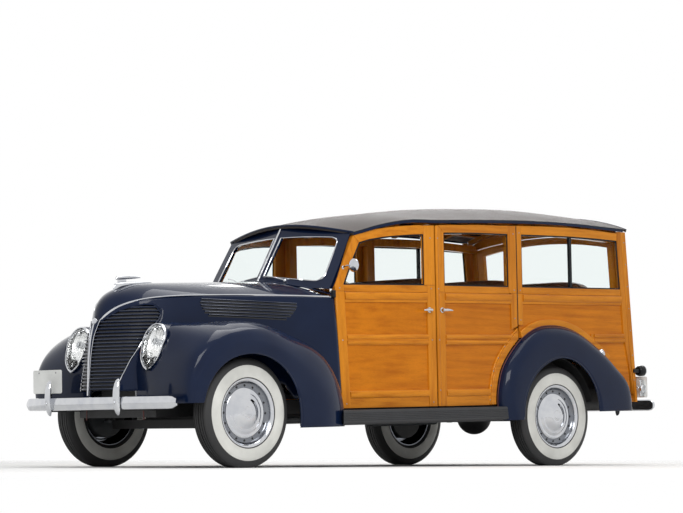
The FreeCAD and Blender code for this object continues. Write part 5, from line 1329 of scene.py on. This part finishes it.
piece("tail_lamp_ring", "body", "chrome",
      lathe([(0.0392, 0.048), (0.0398, 0.055), (0.036, 0.0585), (0.032, 0.057)], *TAIL_LAMP))
piece("tail_lamp_lens", "body", "red_lens",
      lathe([(0.034, 0.054), (0.030, 0.058), (0.018, 0.0608), (0.0, 0.0615)], *TAIL_LAMP))


# ---------------------------------------------------------------- tail
def arc_top(half, z, rise, count=17):
    return [(y, z + rise * (1 - (y / half) ** 2)) for y in np.linspace(half, -half, count)]


WALL = 0.036


def tail_boards(name, body, finish, *outlines, outer=OUT, inner=WALL, **more):
    rows = [(outer, inner, outline) for outline in outlines]
    return boards(name, body, finish, rows, tail, mirrored=False, **more)


def both(u_low, u_high, v_low, v_high):
    """A board on the left and its mirror image."""
    return oblong(-u_high, -u_low, v_low, v_high), oblong(u_low, u_high, v_low, v_high)


made = tail_boards("tail_posts", "body", "frame_z",
                   [(-0.745, 0.362), (-0.698, 0.362), (-0.698, 1.538), (-0.745, 1.578)],
                   [(0.698, 0.362), (0.745, 0.362), (0.745, 1.578), (0.698, 1.538)])
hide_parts("tail_frame")
tail_boards("tail_header", "body", "frame_y",
            [*reversed(arc_top(0.697, 1.5445, 0.058)), *arc_top(0.740, 1.580, 0.124)],
            oblong(-0.697, 0.697, 0.362, 0.545))
made = tail_boards("tailgate_stiles", "tailgate", "frame_z", *both(0.610, 0.689, 0.554, 1.136),
                   oblong(-0.035, 0.035, 0.632, 1.058))
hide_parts("tailgate")
tail_boards("tailgate_rails", "tailgate", "frame_y", oblong(-0.609, 0.609, 0.554, 0.631),
            oblong(-0.609, 0.609, 1.059, 1.136), outer=0.001)
tail_boards("tailgate_panels", "tailgate", "panel_y", *both(0.033, 0.612, 0.628, 1.062),
            outer=0.010, inner=0.024, bevel=0.0)
made = tail_boards("liftgate_stiles", "liftgate", "frame_z", *both(0.629, 0.689, 1.144, 1.536))
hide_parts("liftgate")
tail_boards("liftgate_rails", "liftgate", "frame_y", oblong(-0.628, 0.628, 1.144, 1.186),
            [*reversed(arc_top(0.628, 1.492, 0.055)), *arc_top(0.688, 1.538, 0.059)])
gate_screws = [(y, z) for y in (-0.655, 0.655) for z in (0.59, 0.85, 1.10, 1.17, 1.50)]
piece("gate_handle", "tailgate", "chrome", gather(
    lathe([(0.020, 0.0), (0.018, 0.004), (0.010, 0.007), (0.009, 0.022), (0.0, 0.024)], tail(0, 1.097),
          (1, 0, 0.07), 24),
    tube([tail(-0.045, 1.097, -0.022), tail(0.0, 1.097, -0.024), tail(0.050, 1.095, -0.020)], 0.007, 10)))
piece("tailgate_screws", "tailgate", "steel", studs([p for p in gate_screws if p[1] < 1.14], tail))
piece("liftgate_screws", "liftgate", "steel", studs([p for p in gate_screws if p[1] > 1.14], tail))


# ---------------------------------------------------------------- hood ornament and mirror
def fin(stations, across):
    """A streamlined form: stations of (x, low, high, half width) joined by rounded sections."""
    return rings([[(x, half * a, lerp(low, high, 0.5 + 0.5 * b)) for a, b in circle(1, across)]
                  for x, low, high, half in stations])


ORNAMENT_BASE = [(-0.447, 1.140, 1.180, 0.003), (-0.430, 1.140, 1.197, 0.010), (-0.390, 1.160, 1.204, 0.0155),
                 (-0.300, 1.180, 1.208, 0.0155), (-0.200, 1.192, 1.212, 0.010),
                 (-0.134, 1.197, 1.2125, 0.003)]
ORNAMENT_NECK = [(-0.411, 1.196, 1.224, 0.003), (-0.395, 1.196, 1.226, 0.0065),
                 (-0.365, 1.196, 1.226, 0.0065), (-0.342, 1.198, 1.226, 0.003)]
ORNAMENT_WING = [(-0.429, 1.224, 1.230, 0.003), (-0.418, 1.2185, 1.241, 0.009),
                 (-0.390, 1.2185, 1.2475, 0.0118), (-0.330, 1.222, 1.2515, 0.0115),
                 (-0.275, 1.227, 1.2475, 0.008), (-0.224, 1.233, 1.2385, 0.003)]
ornament = piece("ornament", "hood", "chrome", gather(
    fin(ORNAMENT_BASE, 18), fin(ORNAMENT_NECK, 14), fin(ORNAMENT_WING, 18)), sharp=50)
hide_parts("hood_ornament")

mirror_at = Vector((0.980, -0.740, 1.304))
mirror_foot = Vector(side(0.986, 1.294, 0.004))
head = lathe([(0.0, -0.0115), (0.020, -0.0105), (0.036, -0.006), (0.0445, 0.002), (0.0455, 0.0085),
              (0.0435, 0.0115), (0.041, 0.0095)], mirror_at, (1, 0, 0), 40)
elbow = lerp(mirror_foot, mirror_at, 0.5) + Vector((-0.004, 0, 0.006))
arm = tube([mirror_foot, elbow, mirror_at + Vector((-0.006, 0.01, 0))], 0.0055, 10)
rose = lathe([(0.013, -0.002), (0.013, 0.002), (0.007, 0.005), (0.0, 0.006)], side(0.986, 1.294), LEFT, 20)
mirror_body = frame["nodes"]["door_mirror"]["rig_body"]
mirror = piece("side_mirror", mirror_body, "chrome", gather(head, arm, rose))
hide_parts("door_mirror")
piece("side_mirror_face", mirror_body, "mirror_face",
      lathe([(0.0415, 0.0090), (0.0, 0.0088)], mirror_at, (1, 0, 0), 40))

# ---------------------------------------------------------------- inside
wheel_base = Vector((0.672, -0.350, 0.742))
wheel_axis = Vector((math.cos(math.radians(30)), 0, math.sin(math.radians(30))))
hub_start = wheel_base + wheel_axis * 0.606
rim_line = [(0.215 + a, 0.030 + b) for a, b in circle(0.0118, 14)]
rim_line.append(rim_line[0])
rim = lathe(rim_line, hub_start, wheel_axis, 96, closed=True)
wheel_rim = piece("steering_rim", "steering_wheel", "cream", rim)
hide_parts("steering_wheel")
across = wheel_axis.cross(Vector((0, 1, 0))).normalized()
spokes = []
for turn in (0, 120, 240):
    a = math.radians(turn)
    reach = Vector((0, 1, 0)) * math.sin(a) + across * math.cos(a)
    for offset in (-0.007, 0.0, 0.007):
        shift = wheel_axis.cross(reach) * offset
        spokes.append(tube([hub_start + wheel_axis * 0.024 + reach * 0.025 + shift,
                            hub_start + wheel_axis * 0.028 + reach * 0.206 + shift], 0.0022, 8))
piece("steering_spokes", "steering_wheel", "chrome", gather(*spokes))
boss = [(0.030, 0.003), (0.033, 0.010), (0.033, 0.028), (0.028, 0.036), (0.018, 0.041), (0.0, 0.043)]
piece("steering_boss", "steering_wheel", "cream", lathe(boss, hub_start, wheel_axis, 40))

dash_line = [(0.906, 1.012), (0.906, 1.150), (0.912, 1.158), (0.922, 1.1595), (0.929, 1.152), (0.930, 1.10),
             (0.928, 1.030), (0.922, 1.013)]
dash_shape = rings([[(x, y, z) for x, z in dash_line] for y in np.linspace(-0.563, 0.563, 25)])
dash = piece("dash_panel", "body", "panel_y", dash_shape, tones=[0.2] * len(dash_shape[0]), weld=False)
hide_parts("dashboard")


def dash_rounds(profile, x, z, places, count):
    return [lathe(profile, (x, y, z), (1, 0, 0), count) for y in places]


dials = dash_rounds([(0.062, -0.004), (0.062, 0.0005), (0.056, 0.0005)], 0.9295, 1.088, (-0.35, 0.35), 40)
knobs = dash_rounds([(0.010, -0.001), (0.010, 0.0), (0.0, 0.0004)], 0.930, 1.06, (-0.12, -0.04, 0.04, 0.12), 16)
piece("dash_rings", "body", "chrome", gather(*dials, *knobs))
piece("dash_dials", "body", "dial",
      gather(*dash_rounds([(0.058, -0.0015), (0.0, -0.0012)], 0.9305, 1.088, (-0.35, 0.35), 40)))
piece("steering_column", "body", "black_gloss", gather(
    lathe([(0.0, 0.0), (0.021, 0.0), (0.0215, 0.30), (0.0215, 0.58), (0.018, 0.598), (0.0, 0.5995)],
          wheel_base, wheel_axis, 32),
    box((0.906, -0.364, 0.882), (0.924, -0.336, 1.015))), bevel=0.002)


def cushion(low, high, lean=0.0, upright=False):
    """A padded block, sunk towards its rounded edges and along the channels sewn across its face."""
    crown, channels, stitch = 0.018, 9, 0.011

    def flatter(value, power):
        return math.copysign(abs(value) ** power, value)

    low, high = Vector(low), Vector(high)
    middle, half = (low + high) / 2, (high - low) / 2
    loops = []
    for v in np.linspace(-math.pi / 2, math.pi / 2, 26):
        reach = abs(math.cos(v)) ** 0.38
        loops.append([(flatter(math.cos(u), 0.30) * reach, flatter(math.sin(u), 0.30) * reach,
                       flatter(math.sin(v), 0.45)) for u in turns(120)])
    verts, faces = rings(loops)
    out = []
    for x, y, z in verts:
        point = middle + Vector((x * half.x, y * half.y, z * half.z))
        facing, across = (-x, z) if upright else (z, x)
        if facing > 0:
            channel = 1 - abs(math.sin(math.pi * channels * (y + 1) / 2)) ** 0.35
            sunk = crown * (1 - (1 - across * across) * (1 - y * y))
            sunk += stitch * channel * facing * (1 - abs(y) ** 12)
            point += Vector((sunk, 0, 0)) if upright else Vector((0, 0, -sunk))
        point.x += lean * (point.z - low.z)
        out.append(tuple(point))
    return out, faces


SEAT_TOP, SEAT_THICK, BACK_HEIGHT, BACK_LEAN = 0.790, 0.148, 0.465, 0.152
for name, x, half in (("front_seat", 1.330, 0.610), ("middle_seat", 2.090, 0.580), ("rear_seat", 2.860, 0.582)):
    seat = piece(name + "_cushion", "body", "leather",
                 cushion((x, -half, SEAT_TOP - SEAT_THICK), (x + 0.505, half, SEAT_TOP)), sharp=80)
    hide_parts(name)
    back = piece(name + "_back", "body", "leather",
                 cushion((x + 0.500, -half, SEAT_TOP - SEAT_THICK), (x + 0.622, half, SEAT_TOP + BACK_HEIGHT),
                         lean=BACK_LEAN, upright=True), sharp=80)
    piece(name + "_base", "body", "carpet",
          box((x + 0.042, -half + 0.042, 0.461), (x + 0.436, half - 0.042, SEAT_TOP - 0.140)), bevel=0.012)

carpet = [[(x, y, 0.4625) for y in np.linspace(-0.60, 0.60, 9)] for x in np.linspace(0.70, 3.66, 25)]
piece("cabin_carpet", "body", "carpet", rings(carpet, closed=False), thick=0.002)

# ---------------------------------------------------------------- solids that stay
KEPT = {"body_posts": "frame_z"}
KEPT |= dict.fromkeys(("knuckle_left", "knuckle_right", "engine_block", "exhaust"), "iron")
KEPT |= dict.fromkeys(("chassis_frame", "front_axle", "rear_axle", "leaf_springs", "tie_rod", "floor_pan",
                       "radiator", "fuel_tank", "wheel_houses"), "frame_black")
for node, thing in frame["nodes"].items():
    if node in KEPT or "glass" in node:
        thing.data.materials.clear()
        thing.data.materials.append(FINISH[KEPT.get(node, "glass")])

# ---------------------------------------------------------------- floor, light and camera
# how far from the middle the floor starts to fade out, and where it is gone
FADE = (3.2, 8.5)
floor_mat = material("studio_floor", (0.86, 0.86, 0.85), 0.8, Specular_IOR_Level=0.1)
reach = add(floor_mat, "VectorMath", {"operation": "LENGTH"}, i0=add(floor_mat, "TexCoord").outputs["Object"])
fade = add(floor_mat, "MapRange", {"interpolation_type": "SMOOTHSTEP"}, Value=reach.outputs["Value"],
           i1=FADE[0], i2=FADE[1])
clear = add(floor_mat, "BsdfTransparent").outputs[0]
solid = floor_mat.node_tree.nodes["Principled BSDF"].outputs[0]
blend = add(floor_mat, "MixShader", i0=fade.outputs[0], i1=solid, i2=clear)
floor_mat.node_tree.links.new(blend.outputs[0], floor_mat.node_tree.nodes["Material Output"].inputs[0])
floor_mesh = bpy.data.meshes.new("studio_floor")
floor_mesh.from_pydata([(-60, -60, 0), (60, -60, 0), (60, 60, 0), (-60, 60, 0)], [], [(0, 1, 2, 3)])
floor_mesh.materials.append(floor_mat)
floor = bpy.data.objects.new("studio_floor", floor_mesh)
bpy.context.scene.collection.objects.link(floor)


def softbox(name, place, aim, size, watts):
    light = bpy.data.lights.new(name, "AREA")
    light.shape = "RECTANGLE"
    light.size, light.size_y = size
    light.energy = watts
    made = bpy.data.objects.new(name, light)
    made.location = place
    made.rotation_mode = "QUATERNION"
    made.rotation_quaternion = (Vector(aim) - Vector(place)).to_track_quat("-Z", "Y")
    bpy.context.scene.collection.objects.link(made)


softbox("key", (-4.5, -6.5, 5.0), (0, 0, 0.8), (4.0, 3.0), 350)
softbox("top", (0.5, -0.5, 6.5), (0, 0, 0.5), (6.0, 4.0), 230)
softbox("back", (6.0, 5.0, 4.0), (0, 0, 0.8), (4.0, 3.0), 180)

world = bpy.data.worlds.new("studio")
bpy.context.scene.world = world
world.use_nodes = True
background = world.node_tree.nodes["Background"]
background.inputs["Color"].default_value = (1, 1, 1, 1)
rays = add(world, "LightPath").outputs
seen = add(world, "Math", {"operation": "MAXIMUM"}, i0=rays["Is Camera Ray"], i1=rays["Is Transmission Ray"])
either = add(world, "Math", {"operation": "MAXIMUM"}, i0=seen.outputs[0], i1=rays["Is Glossy Ray"])
level = add(world, "MapRange", Value=either.outputs[0], i3=0.42, i4=1.0)
world.node_tree.links.new(level.outputs[0], background.inputs["Strength"])

camera_data = bpy.data.cameras.new("camera")
camera_data.lens = 139.57
camera_data.sensor_width = 36
camera_data.clip_end = 200
camera = bpy.data.objects.new("camera", camera_data)
camera.location = (-12.6427, -13.4646, 0.1391)
yaw, pitch = math.radians(42.925), math.radians(4.090)
ahead = Vector((math.sin(yaw) * math.cos(pitch), math.cos(yaw) * math.cos(pitch), math.sin(pitch)))
camera.rotation_mode = "QUATERNION"
camera.rotation_quaternion = ahead.to_track_quat("-Z", "Y")
bpy.context.scene.collection.objects.link(camera)
bpy.context.scene.camera = camera
bpy.context.scene.view_settings.view_transform = "Standard"
